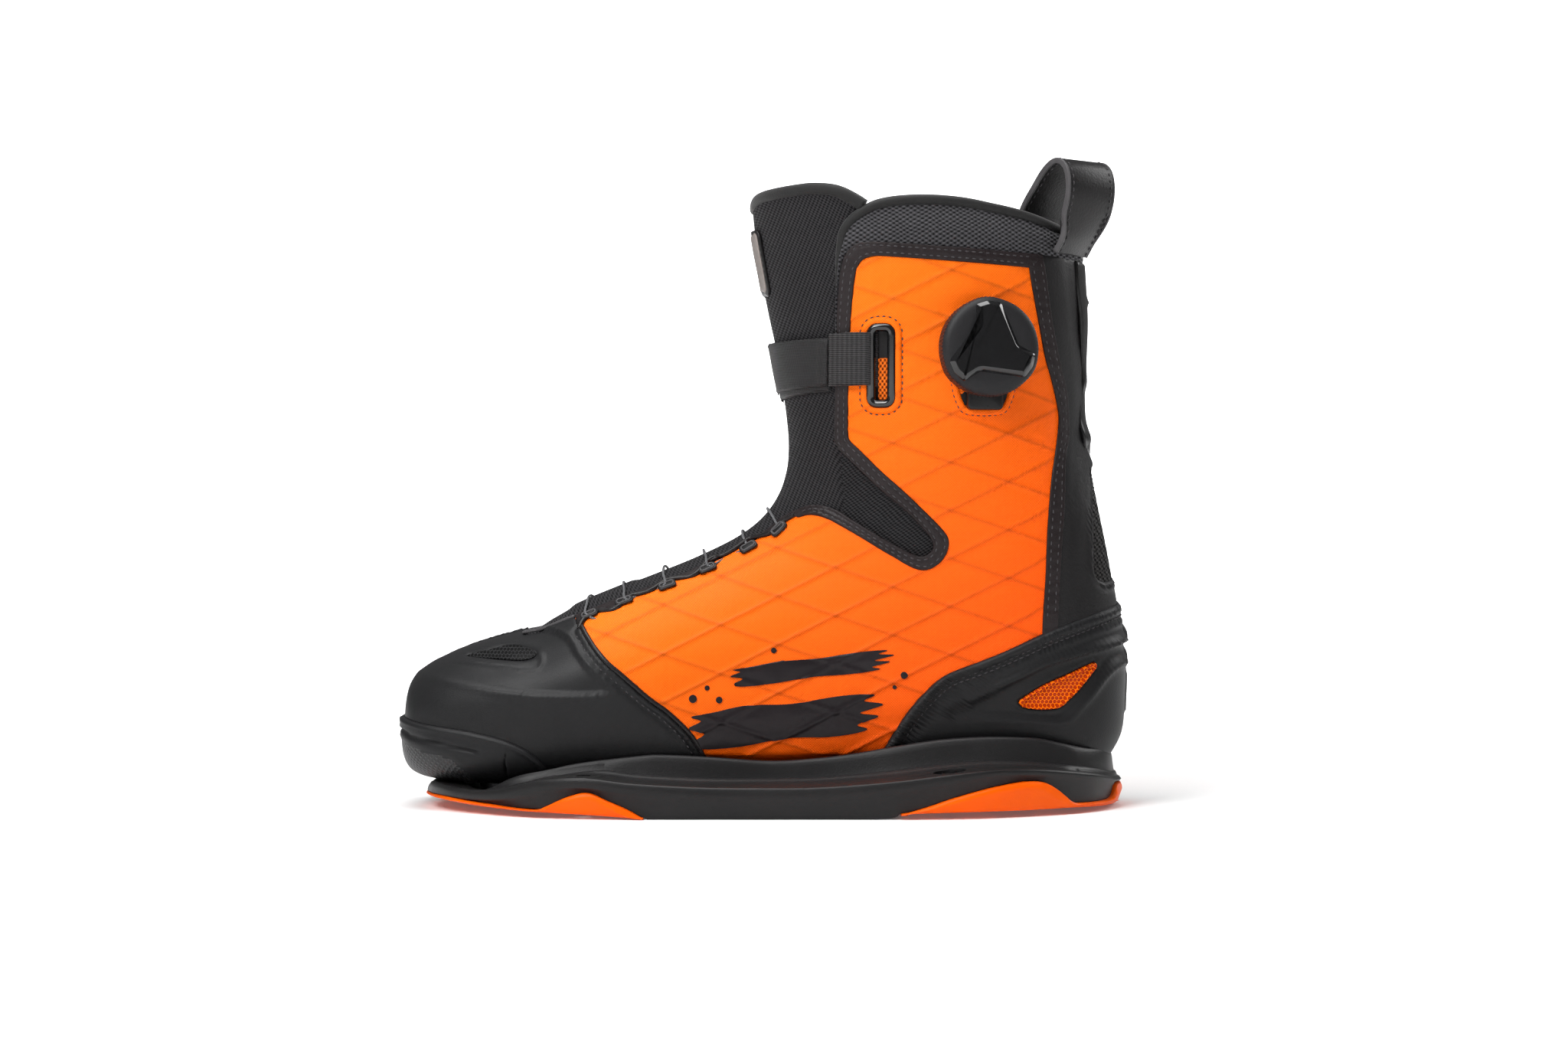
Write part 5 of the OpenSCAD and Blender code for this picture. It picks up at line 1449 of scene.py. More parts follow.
panel("badge_face", badge_face, lambda s: 1.95 + rolled(s.d, 0.4), 1.3, BADGE, step=1.2)

# ---- Ankle gussets ----

for side, word in ((OUTER, "outer"), (INNER, "inner")):
    outline = np.vstack([fine_line(beside(NOTCH[1:-3], 2.2), side), gap_line(side, -0.01, 14.2, 19.5, 30)])
    panel(f"ankle_gusset_{word}", outline,
          lambda s: -1.75 + 0.5 * bell(s.d - 7, 4) + 0.1 * np.sin(s.z * 2.6 + s.x * 0.5), -3.4, STRETCH_KNIT,
          step=0.9, replaces=["ankle_gussets"] if side < 0 else (), slot="black_mesh")

# ---- Liner, collar and pull loop ----

def shell_grid(us, ts, outer, inner):
    """Closed tube between two heights off the skin over a grid of sections."""
    a, b = len(us), len(ts)
    U, T = np.meshgrid(us, ts, indexing="ij")
    points = np.vstack([skin(U, T, outer).reshape(-1, 3), skin(U, T, inner).reshape(-1, 3)])
    k = a * b
    faces = []
    for i in range(a - 1):
        for j in range(b):
            q = [i * b + j, i * b + (j + 1) % b, (i + 1) * b + (j + 1) % b, (i + 1) * b + j]
            faces += [q, [v + k for v in q[::-1]]]
    for i in (0, a - 1):
        faces += [[i * b + j, i * b + (j + 1) % b, k + i * b + (j + 1) % b, k + i * b + j] for j in range(b)]
    return points, faces


sock = mesh_object("liner_sock",
                   *shell_grid(np.linspace(0.6, 24.9, 90), np.linspace(-1, 1, 97)[:-1], -4.9, -8.6), LINING,
                   replaces=["liner_foot", "liner_cuff"], slot="foam")
turn_out(sock)


BIND_MID = [(29.6, 196), (29.4, 206), (29.4, 217), (29.9, 231), (30.6, 240), (31.6, 245.2), (33.8, 248.6),
            (37, 251.6), (41.5, 254.3), (47, 256.4), (55, 257.6), (65, 258), (75, 257.6), (85, 256.5),
            (95, 254.6), (105, 252.6), (113, 250.6), (122, 247.6), (130, 244.9), (134.5, 243.9)]
PAD_LOW = [(30.2, 197), (30.4, 217), (31.4, 228), (33.2, 234), (36, 236.6), (41, 237.8), (49, 237.6),
           (67, 236.3), (87, 234.9), (106, 233.6), (118, 233), (137.5, 232)]


def collar_pad():
    """Foam pad under the collar's mesh: puffed between its two held edges by cloth pressure."""
    low, high = side_line(PAD_LOW, INNER), side_line(BIND_MID, INNER)
    columns, rows = ((230, 15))
    low, high = even_ut(low, columns), even_ut(high, columns)
    f = np.linspace(0, 1, rows)[:, None, None]
    front = low[None] * (1 - f) + high[None] * f
    both_halves = np.concatenate([front, np.stack([front[..., 0], 2 - front[..., 1]], -1)[:, ::-1][:, 1:]], 1)
    r, c = both_halves.shape[:2]
    bulge = np.sin(np.linspace(0, math.pi, r))[:, None] ** 0.7
    lift = -1.4 + 2.8 * bulge + np.zeros((1, c))
    top = skin(both_halves[..., 0], both_halves[..., 1], lift)
    back = skin(both_halves[..., 0], both_halves[..., 1], -8.3 + 0 * lift)
    points = np.vstack([top.reshape(-1, 3), back.reshape(-1, 3)])
    k = r * c
    faces = []
    for i in range(r - 1):
        for j in range(c - 1):
            q = [i * c + j, i * c + j + 1, (i + 1) * c + j + 1, (i + 1) * c + j]
            faces += [q, [v + k for v in q[::-1]]]
    edge = [j for j in range(c)] + [i * c + c - 1 for i in range(1, r)] + [(r - 1) * c + j
            for j in range(c - 2, -1, -1)] \
        + [i * c for i in range(r - 2, 0, -1)]
    faces += [[v, w, w + k, v + k] for v, w in zip(edge, edge[1:] + edge[:1])]
    o = mesh_object("collar_padding", points, faces, COARSE_MESH, replaces=["collar_pad"], slot="black_mesh")
    turn_out(o)
    puff(o, set(range(k)), held=[v for v in range(k) if v < c or v >= k - c or v % c in (0, c - 1)])
    return o


def even_ut(line, n):
    p = skin(line[:, 0], line[:, 1])
    run = np.r_[0, np.cumsum(np.linalg.norm(np.diff(p, axis=0), axis=1))]
    at = np.linspace(0, run[-1], n)
    return np.c_[np.interp(at, run, line[:, 0]), np.interp(at, run, line[:, 1])]


def puff(o, free, held, pressure=3.5, frames=14, cap=0.0024):
    """Cloth simulation that blows the free side of a pad outward, its edges and back held."""
    before = np.array([v.co[:] for v in o.data.vertices])
    pins = o.vertex_groups.new(name="held")
    fixed = sorted((set(range(len(before))) - free) | set(held))
    pins.add(fixed, 1.0, "REPLACE")
    cloth_mod = o.modifiers.new("padding", "CLOTH")
    s = cloth_mod.settings
    s.quality = 4
    s.mass = 0.15
    s.use_pressure = True
    s.uniform_pressure_force = pressure
    s.tension_stiffness = s.compression_stiffness = 12
    s.shear_stiffness = 6
    s.bending_stiffness = 0.5
    s.vertex_group_mass = "held"
    s.effector_weights.gravity = 0
    cloth_mod.collision_settings.use_collision = False
    cloth_mod.point_cache.frame_start, cloth_mod.point_cache.frame_end = 1, frames
    scene = bpy.context.scene
    for frame_no in range(1, frames + 1):
        scene.frame_set(frame_no)
    shown = o.evaluated_get(bpy.context.evaluated_depsgraph_get())
    after = np.array([v.co[:] for v in shown.data.vertices])
    o.modifiers.remove(cloth_mod)
    scene.frame_set(1)
    move = after - before
    size = np.linalg.norm(move, axis=1, keepdims=True)
    move *= np.minimum(1, cap / np.maximum(size, 1e-9))
    o.data.vertices.foreach_set("co", (before + move).ravel())
    o.data.update()


pad = collar_pad()
bind = even_ut(side_line(BIND_MID, INNER), 110)
bind = round_back(bind)
axis_in = skin(bind[:, 0], bind[:, 1], -3.4)
depth = np.linspace(0, 1, len(bind))
grow = 1 - 0.25 * (smoothstep(0.12, 0.04, depth) + smoothstep(0.88, 0.96, depth))
n = normal(bind[:, 0], bind[:, 1])
w = np.linspace(0, 2 * np.pi, 22, endpoint=False)
fold = np.c_[2.45 * np.sign(np.cos(w)) * np.abs(np.cos(w)) ** 0.8, 4.6 * np.sign(np.sin(w))
             * np.abs(np.sin(w)) ** 0.7]
sweep("collar_edge_binding", axis_in, n, fold, NEOPRENE, grow=grow, replaces=["collar_binding"],
      slot="black_synthetic")

LOOP_FOOT, LOOP_TURN, LOOP_WIDTH = (128.4, -27), math.radians(-31), 29
LOOP_TWIST = math.radians(-15)
LOOP_ROUTE = [(1.2, 237), (4.2, 242), (7.6, 248), (10.8, 254.5), (12.6, 261), (12.8, 267), (11.2, 272.4),
              (7.9, 275.2), (3.9, 275), (-1.1, 271.5), (-6.6, 265), (-12, 258), (-15.6, 250.5), (-17, 243),
              (-16.8, 238.5)]


def pull_loop():
    line = smooth(LOOP_ROUTE, 1.1)
    turn = LOOP_TURN + LOOP_TWIST * smoothstep(241, 255, line[:, 1])
    axis = np.c_[np.cos(turn), np.sin(turn), 0 * turn]
    wide = np.c_[-np.sin(turn), np.cos(turn), 0 * turn]
    path = np.array([*LOOP_FOOT, 0]) + line[:, :1] * axis + line[:, 1:] * [0, 0, 1]
    d = unit(np.gradient(path, axis=0))
    up = np.cross(d, wide)
    shape = rounded(LOOP_WIDTH / 2, 1.15, 0.8, 4)
    band = tube(path, up, shape)
    merged("pull_loop_band", [band], SYNTHETIC, replaces=["pull_loop"], slot="black_synthetic")
    edges = []
    for s in (-1, 1):
        edges.append(tube(path + s * wide * (LOOP_WIDTH / 2 - 0.25), up, rounded(0.55, 1.3, 0.5, 4)))
    merged("pull_loop_cut_edges", edges, GREY_EDGE)
    rows = [(path + s * wide * (LOOP_WIDTH / 2 - 2.3) + up * lift, up * np.sign(lift))
            for s in (-1, 1) for lift in (-1.2, 1.2)]
    stitches("pull_loop_thread", rows, THREAD, 2.0, 2.9, 0.3)


pull_loop()

# ---- Ankle strap ----

BAND_LOW = [(5.9, 175.5), (8, 175.8), (14, 176.6), (20, 177.4), (27.6, 178)]
BAND_HIGH = [(3.2, 197), (6, 197.2), (14, 197.6), (20, 198), (27.6, 198.4)]
TAIL_LOW = [(5.6, 177.4), (8, 177.6), (14, 178.2), (20, 178.9), (27.5, 179.6)]
TAIL_HIGH = [(2.9, 198.4), (6, 198.6), (14, 199), (20, 199.3), (27.5, 199.6)]


def across_front(low, high, from_y=None):
    """Band across the tongue between two side outlines; on the inner side it may stop short."""
    a, b = side_line(low, OUTER), side_line(high, OUTER)
    c, d = side_line(low, INNER), side_line(high, INNER)
    if from_y is not None:
        c = c[skin(c[:, 0], c[:, 1])[:, 1] < from_y]
        d = d[skin(d[:, 0], d[:, 1])[:, 1] < from_y]
    return np.vstack([a[::-1], c, d[::-1], b])


panel("strap_band_under", across_front(BAND_LOW, BAND_HIGH), lambda s: 2.15 + rolled(s.d, 0.4), 0.3, STRAP,
      step=1.3, uv=lambda s: np.c_[s.true[:, 1] - s.true[:, 0], s.true[:, 2]], replaces=["strap_band"],
      slot="webbing")


def tail_height(s):
    ribs = 0.55 * (bell(s.x - 26.4, 0.45) + bell(s.x - 24.6, 0.45)) * (s.t < 0) * smoothstep(0.6, 1.4, s.d)
    selvedge = 0.18 * bell(s.d - 0.9, 0.5)
    return 3.55 + ribs + selvedge + rolled(s.d, 0.45)


panel("strap_tail_band", across_front(TAIL_LOW, TAIL_HIGH, 22), tail_height, 2.45, STRAP, step=1.2,
      uv=lambda s: np.c_[s.true[:, 1] - s.true[:, 0], s.true[:, 2]], body="strap_tail",
      replaces=["strap_tail"], slot="webbing")

WEB = [(28.1, 179.3), (36, 179.5), (46.2, 180), (46.2, 202), (36, 202), (28.1, 201.3)]


def web_height(s):
    x, z = s.x, s.z
    middle = smoothstep(185.5, 186.5, z) - smoothstep(195, 196, z)
    ribs = 0.16 * np.sin(x * 2 * math.pi / 1.25) * (1 - middle)
    basket = 0.14 * np.sin(x * 2 * math.pi / 1.8 + z) * np.sin(z * 2 * math.pi / 1.1) * middle
    dive = -5.0 * smoothstep(43.4, 46.2, x)
    return 3.75 + ribs + basket + dive + rolled(s.d, 0.4)


for side, word in ((OUTER, "outer"), (INNER, "inner")):
    panel(f"strap_webbing_{word}", corners(WEB + WEB[:1], side, 1.0)[:-1], web_height,
          lambda s: 2.5 - 5.6 * smoothstep(42.6, 45.4, s.x), WEBBING, step=0.7,
          replaces=["strap_webbing"] if side < 0 else (), slot="webbing")


def slot_line(grow, side, step=1.0):
    p = even(np.array(slot_outline(grow, 9)), step, True)
    return fine_line(p, side)


bars, surround, threads = [], [], []
for side in (OUTER, INNER):
    line = slot_line(0.1, side)
    n = normal(line[:, 0], line[:, 1])
    base = skin(line[:, 0], line[:, 1])
    bars.append(tube(base + n * 0.55, n, np.c_[1.95 * np.cos(w), 2.3 * np.sin(w) - 0.9], True))
    line = slot_line(2.8, side)
    n = normal(line[:, 0], line[:, 1])
    surround.append(tube(skin(line[:, 0], line[:, 1]) - n * 0.1, n, np.c_[1.6 * np.cos(w), 1.25 * np.sin(w)],
                         True))
    line = slot_line(4.6, side)
    threads.append(seam(line, 0, 0.25))
merged("slot_rings", bars, GLOSS, replaces=["strap_rings"], slot="gloss_black")
merged("slot_surrounds", surround, ORANGE_FABRIC)
stitches("slot_thread", threads, THREAD, 1.5, 2.6, 0.28)
for side, word in ((OUTER, "outer"), (INNER, "inner")):
    back_plate = slot_line(2.4, side)
    panel(f"slot_lining_{word}", back_plate, lambda s: -3.0 + 0 * s.u, -3.4, SYNTHETIC, step=1.5)
    strip = corners([(46.3, 173.5), (51.5, 173.5), (51.5, 192), (46.3, 192), (46.3, 173.5)], side, 1.0)[:-1]
    panel(f"slot_mesh_{word}", strip, lambda s: -2.2 + 0 * s.u, -2.9, ORANGE_MESH, step=1.2)

# ---- Lacing dial ----

def dial_part(part):
    return dial_place(part[0]), part[1]


CAP_ARMS = (95, 215, 335)


def knob_points():
    """Knurled ring of the knob with three bulges, one at each arm of the cap."""
    steps = 420
    profile = [(17.9, 6.9), (17.9, 4.5), (19.6, 4.3), (20.4, 4.9), (20.75, 6.2), (20.75, 11.6), (20.4, 12.9),
               (19.4, 14.1), (17.6, 14.9), (14.5, 15.25), (8.5, 15.3), (5.6, 15.3), (5.6, 9.2), (2.3, 9.2),
               (2.3, 8.3), (8.1, 8.3), (17.0, 7.1)]
    points, faces = turned(profile, steps)
    m = len(profile)
    for k in range(steps):
        a = 360.0 * k / steps
        lobe = sum(float(bell((a - c + 180) % 360 - 180, 15)) for c in CAP_ARMS)
        tooth = 0.28 * math.cos(math.radians(a) * 84)
        for j, (r, z) in enumerate(profile):
            side_wall = 3 <= j <= 6
            grow = 0.55 * lobe * (1 if r > 17 and z > 4.4 else 0) + (tooth if side_wall and j in (4, 5)
                                                                     else 0)
            points[k * m + j, :2] *= (r + grow - 0.3 * (j in (4, 5))) / r
            if r > 14 and z > 14:
                points[k * m + j, 2] += 0.25 * lobe
    return points, faces


merged("dial_knob_ring", [dial_part(knob_points())], KNOB, sharp=40, body="dial_grip", replaces=["dial_knob"],
       slot="knob_black")

LOBES = []
for a in CAP_ARMS:
    for turn, r in ((-17, 18.9), (0, 19.3), (16, 18.9), (29, 11.5)):
        LOBES.append((r, a + turn))
lobe_line = np.array([(r * math.cos(math.radians(a)), r * math.sin(math.radians(a))) for r, a in LOBES])


def soften(outline, r, n=4):
    """Outline with its corners cut round."""
    made = []
    for a, b, c in zip(np.roll(outline, 1, 0), outline, np.roll(outline, -1, 0)):
        p, q = b + unit(a - b) * r, b + unit(c - b) * r
        for f in np.linspace(0, 1, n):
            made.append((1 - f) ** 2 * p + 2 * f * (1 - f) * b + f * f * q)
    return np.array(made)


def tri_cap():
    low = soften(lobe_line, 1.2)
    d = unit(np.roll(low, -1, 0) - np.roll(low, 1, 0))
    out = np.c_[d[:, 1], -d[:, 0]]
    area = np.sum(low[:, 0] * np.roll(low[:, 1], -1) - low[:, 1] * np.roll(low[:, 0], -1))
    out *= np.sign(area)
    rings = []
    for inset, z in ((0.3, 14.6), (0, 15.35), (0.15, 15.6), (1.55, 16.95), (1.9, 17.05), (2.6, 17.05)):
        rings.append(np.c_[low - out * inset, np.full(len(low), z)])
    n = len(low)
    faces = [list(range(n))[::-1]]
    for i in range(len(rings) - 1):
        faces += [[i * n + j, i * n + (j + 1) % n, (i + 1) * n + (j + 1) % n, (i + 1) * n + j]
                  for j in range(n)]
    faces.append([(len(rings) - 1) * n + j for j in range(n)])
    return np.vstack(rings), faces


merged("dial_tri_cap", [dial_part(tri_cap())], GLOSS, sharp=24, body="dial_grip", replaces=["dial_cap"],
       slot="gloss_black")
base_profile = [(12.5, -1.2), (16.9, -1.2), (17.6, -0.4), (17.6, 5.6), (17.2, 6.3), (12.5, 6.3)]
nose = slab(rounded(7.6, 6.4, 2.0) + [0, -19.4], 0.2, 4.0, 0.9)
merged("dial_housing", [dial_part(turned(base_profile, 96)), dial_part(nose)], SATIN, sharp=35,
       replaces=["dial_base"], slot="gloss_black")
window = smooth([(-12.5, -14.5), (-11, -20.5), (-8.2, -25.6), (-3, -26.6), (3, -26.6), (8.2, -25.6),
                 (11, -20.5),
                 (12.5, -14.5)], 0.8)
window3 = dial_place(np.c_[window, np.full(len(window), 0.0)])
edge_ut = on_side(window3[:, ::2]) * [1, -1]
n = normal(edge_ut[:, 0], edge_ut[:, 1])
edge_p = skin(edge_ut[:, 0], edge_ut[:, 1])
merged("dial_window_edge", [tube(edge_p + 0.35 * n, n, np.c_[1.35 * np.cos(w), 0.75 * np.sin(w)])],
       ORANGE_FABRIC)
opening = beside([tuple(p) for p in edge_p[:, ::2]], 0.0, 1.0)
opening = np.vstack([opening, opening[:1]])
panel("dial_window", fine_line(even(opening, 1.0, False)[:-1], OUTER), lambda s: 0.25 + 0 * s.u, -0.6,
      SYNTHETIC, step=1.5)
stitches("dial_window_thread", [(edge_p + 0.35 * n + unit(edge_p - dial_place([[0, -18, 0]])) * 1.5, n)],
         THREAD, 1.4, 2.4, 0.26)

# ---- Base frame and grip pads ----

FOOT_RIM = [(-127, 0), (-125.5, 20), (-118, 41), (-110, 48), (-97, 52), (-77, 51), (-48, 50), (-20, 48),
            (0, 45.5), (20, 43.5), (40, 43), (60, 44), (80, 44.5), (97, 44.5), (110, 43), (120, 40),
            (130, 34.5), (137, 28.5), (143, 20), (146.3, 10), (147.3, 0)]
FLANGE = [(-147.7, 0), (-146.5, 12), (-143, 24), (-136, 36), (-126, 47), (-112, 59), (-98, 68), (-82, 74.5),
          (-62, 77), (-20, 77), (20, 77), (62, 77), (82, 75.5), (98, 70.5), (114, 62), (128, 51), (140, 38),
          (149, 22), (153, 9), (153.8, 0)]
RIM = [(-160, 8), (-127, 9), (-121, 10.5), (-110, 16), (-98, 18.7), (-88, 21), (-77, 22.7), (-57, 24.8),
       (-48, 25.2), (-28, 24.3), (0, 22.4), (20, 23.2), (39, 25.3), (58, 28.5), (77, 31.2), (97, 32.4),
       (116, 31.8), (126, 29.8), (138, 26.8), (149, 25), (156, 24.5)]
LAND = [(-150, 7.2), (-147.5, 7.4), (-146.5, 9), (-144, 11.2), (-140, 11.4), (-130, 10.2), (-122, 10),
        (-115, 10.8), (-105, 13), (-95, 15.7), (-80, 17.1), (-70, 16.7), (-56, 15), (-28, 13.4), (0, 13.1),
        (19, 13.3), (38, 14.5), (57, 16.3), (76, 18.6), (95, 20.2), (115, 19.6), (137, 16.6), (150, 13.2),
        (156, 12)]
MID = [(-150, 6.9), (-140, 7.2), (-126, 6.6), (-115, 7), (-105, 8.6), (-95, 11.2), (-85, 13), (-78, 13.5),
       (-70, 12.9), (-56, 10.7), (-37, 8.6), (-18, 7.4), (0, 7), (19, 7.3), (38, 8.7), (57, 11.4), (66, 13.3),
       (76, 14.9), (85, 16.9), (95, 18.3), (105, 18.2), (115, 17.8), (126, 16.5), (137, 14.6), (152, 11.8),
       (156, 11.5)]
FRONT_TOP = [(-150, 6.5), (-147.5, 6.5), (-137, 6.4), (-126, 5.4), (-115, 4.6), (-105, 3.8), (-96, 3.6),
             (-92, 5), (-87, 7.4), (-83, 9.1), (-78, 10.7), (-74.6, 11.1), (-71.6, 10.5), (-66, 8),
             (-61, 5.9), (-56, 3.6), (-52, 1.3), (-49.5, 0.6)]
FRONT_CREASE = [(-150, 5.9), (-126, 4.7), (-105, 3.4), (-96, 3.2), (-92.2, 3.9), (-86.5, 6.2), (-80, 7.9),
                (-74, 8.5), (-69.5, 7.2), (-61, 2.9), (-54.4, 0.7), (-49, 0.3)]
REAR_TOP = [(55, 2.4), (59, 3.1), (66.6, 5.3), (76, 8.4), (86, 11.1), (95.4, 13.2), (105, 14.7), (110, 15),
            (115, 14.6), (118.5, 13.4), (122.6, 10.8), (125.6, 8.3), (129.5, 5.2), (134, 4.4), (146, 4.3),
            (149.5, 6), (151, 10), (156, 10.6)]
REAR_CREASE = [(55, 2), (62.8, 3.2), (76, 6.2), (85.5, 8.6), (95, 10.6), (104, 11.7), (109.5, 11.8),
               (114, 11), (118.5, 8.8), (124, 5.4), (131, 3.8), (146, 3.7), (150, 5), (156, 9.5)]
GROUND = [(-150, 4.9), (-137, 4.4), (-126, 3.6), (-105, 2.6), (-85, 2.2), (-66, 1.3), (-52, 0), (-49, 0),
          (49, 1.2), (59, 2.2), (76, 2.7), (95, 2.9), (128, 2.6), (148, 1.6), (156, 1.7)]
UNDER = [(-150, 6.5), (-137, 6.4), (-126, 5.4), (-105, 3.8), (-94, 3.6), (-50, 0), (42, 0), (57, 2.6),
         (76, 4.6), (156, 4.6)]
TRAY_FLOOR = 8.0


def resample(line, n):
    run = np.r_[0, np.cumsum(np.linalg.norm(np.diff(line, axis=0), axis=1))]
    at = np.linspace(0, run[-1], n)
    return np.stack([np.interp(at, run, line[:, k]) for k in range(line.shape[1])], 1)


def height_at(x, table):
    return curve(x, table)


STATIONS = 460
PLAN_OUT = resample(smooth(FLANGE, 0.6), STATIONS)
PLAN_OUT[:, 1] = np.maximum(PLAN_OUT[:, 1], 0)
PLAN_IN = resample(smooth(FOOT_RIM, 0.6), STATIONS)
PLAN_IN[:, 1] = np.maximum(PLAN_IN[:, 1], 0)
PLAN_WIDE = np.linalg.norm(PLAN_OUT - PLAN_IN, axis=1)
PLAN_NORMAL = np.c_[-np.gradient(PLAN_OUT[:, 1]), np.gradient(PLAN_OUT[:, 0])]
PLAN_NORMAL = unit(np.where(PLAN_NORMAL[:, 1:] < 0, PLAN_NORMAL, PLAN_NORMAL))
PLAN_NORMAL[0], PLAN_NORMAL[-1] = (-1, 0), (1, 0)


def from_rim(offset, share):
    """Plan points some millimetres out from the tray's wall, at most a share of the way to the edge."""
    k = np.minimum(offset / PLAN_WIDE, share)[:, None]
    return PLAN_IN + (PLAN_OUT - PLAN_IN) * k


def from_edge(inset):
    """Plan points inset from the flange's edge."""
    p = PLAN_OUT - PLAN_NORMAL * inset
    return np.c_[p[:, 0], np.maximum(p[:, 1], 0)]


def plan_body(name, rings, material, keep=None, **place):
    """Closed body from rings of half-plan points with heights, mirrored to the other side and joined."""
    rings = np.array([np.c_[xy, z] for xy, z in rings])
    if keep is not None:
        rings = rings[:, keep]
    m, n = rings.shape[:2]
    points, faces = [], []
    for flip in (1, -1):
        start = len(points)
        points += (rings * [1, flip, 1]).reshape(-1, 3).tolist()
        for i in range(m - 1):
            for j in range(n - 1):
                faces.append([start + i * n + j, start + i * n + j + 1, start + (i + 1) * n + j + 1,
                              start + (i + 1) * n + j])
        if keep is not None:
            ends = [j for j in (0, n - 1) if rings[:, j, 1].max() > 1]
            faces += [[start + i * n + j for i in range(m)] for j in ends]
    o = mesh_object(name, np.array(points), faces, material, **place)
    work = bmesh.new()
    work.from_mesh(o.data)
    bmesh.ops.remove_doubles(work, verts=work.verts, dist=2e-5)
    bmesh.ops.dissolve_degenerate(work, dist=1e-6, edges=work.edges)
    bmesh.ops.recalc_face_normals(work, faces=work.faces)
    work.to_mesh(o.data)
    work.free()
    return o


def drilled(o, holes):
    """Cuts upright round holes, given as x, y, radius, z0, z1, out of a body."""
    parts = []
    for x, y, r, z0, z1 in holes:
        points, faces = slab(ring_shape(r, n=40), z0, z1, 0.0, 1)
        parts.append((points + [x, y, 0], faces))
    cutter = merged("cutter", parts, FRAME_PLASTIC)
    cut = o.modifiers.new("holes", "BOOLEAN")
    cut.operation, cut.object, cut.solver = "DIFFERENCE", cutter, "EXACT"
    shown = o.evaluated_get(bpy.context.evaluated_depsgraph_get())
    mesh = bpy.data.meshes.new_from_object(shown)
    o.modifiers.remove(cut)
    old = o.data
    o.data = mesh
    bpy.data.meshes.remove(old)
    bpy.data.objects.remove(cutter)
    o.data.set_sharp_from_angle(angle=math.radians(42))


def at_plan(xy, table, lift=0.0):
    return xy, height_at(xy[:, 0], table) + lift


def frame_rings():
    rings = [(PLAN_IN * [1, 0], np.full(STATIONS, TRAY_FLOOR)),
             (from_rim(0, 0), np.full(STATIONS, TRAY_FLOOR))]
    for offset, share, lift in ((0.05, 0.02, -1.6), (0.5, 0.08, -0.5), (1.3, 0.14, -0.05), (2.3, 0.2, 0),
                                (3.1, 0.27, -0.45), (3.8, 0.33, -1.5)):
        xy = from_rim(offset, share)
        rings.append((xy, np.maximum(height_at(PLAN_OUT[:, 0] * 0.5 + xy[:, 0] * 0.5, RIM) + lift,
                                     TRAY_FLOOR)))
    for offset, share, f, lift in ((4.3, 0.4, 0.72, 0), (4.9, 0.46, 0.42, 0.6), (5.8, 0.52, 0.2, 1.6),
                                   (7.2, 0.58, 0.06, 2.3), (8.2, 0.64, 0, 2.1), (9.0, 0.69, 0, 1.4),
                                   (10.5, 0.74, 0, 0.35)):
        xy = from_rim(offset, share)
        x = PLAN_OUT[:, 0] * 0.5 + xy[:, 0] * 0.5
        low, high = height_at(x, LAND), height_at(x, RIM)
        fade = smoothstep(2.5, 7, high - low)
        rings.append((xy, np.maximum(low + lift * fade, low + (high - low) * f)))
    edge = [at_plan(from_edge(3.0), LAND, 0.1), at_plan(from_edge(1.5), LAND, 0.15),
            at_plan(from_edge(0.5), LAND, -0.15),
            at_plan(from_edge(0.05), LAND, -0.8)]
    xy = from_edge(0)
    edge.append((xy, height_at(xy[:, 0], MID)))
    under = np.where((PLAN_OUT[:, 0] > -94.5) & (PLAN_OUT[:, 0] < -49.5),
                     height_at(PLAN_OUT[:, 0], FRONT_TOP),
                     np.where(PLAN_OUT[:, 0] > 55, height_at(PLAN_OUT[:, 0], REAR_TOP),
                              height_at(PLAN_OUT[:, 0], UNDER)))
    mid = height_at(PLAN_OUT[:, 0], MID)
    under = np.minimum(under, mid - 0.3)
    edge.append((from_edge(0.5), np.maximum(mid - 0.7, under + 0.05)))
    edge.append((from_edge(1.6), under + 0.45 * (mid - under)))
    edge.append((from_edge(2.0), under + 0.1))
    edge.append((from_edge(2.6), under))
    edge.append((from_edge(5.2), under))
    flat_under = np.minimum(height_at(PLAN_OUT[:, 0], UNDER), under)
    plate = np.where((PLAN_OUT[:, 0] < -50) | (PLAN_OUT[:, 0] > 56),
                     np.minimum(5.2, np.maximum(flat_under, 4.9)), flat_under)
    plate = np.minimum(plate, under)
    edge.append((from_edge(5.3), plate))
    edge.append((PLAN_OUT * [1, 0], plate))
    return rings + edge


base = plan_body("base_frame_shell", frame_rings(), FRAME_PLASTIC, replaces=["base_frame"],
                 slot="frame_plastic")
BOLTS = [(x, y) for x in (-76.2, 76.2) for y in (-63.5, 63.5)]
BOLT_R, BOLT_SINK_R, SCREW_R, SCREW_SINK_R = 3.3, 7, 2.7, 5.2
SCREWS = [(x, y) for x, w in ((-70, 20), (0, 18), (85, 18)) for y in (w, -w)]
drilled(base, [(x, y, BOLT_R, -5, 40) for x, y in BOLTS] + [(x, y, BOLT_SINK_R, 7, 45) for x, y in BOLTS]
        + [(x, y, SCREW_R, -5, 20) for x, y in SCREWS] + [(x, y, SCREW_SINK_R, -6, 5) for x, y in SCREWS])


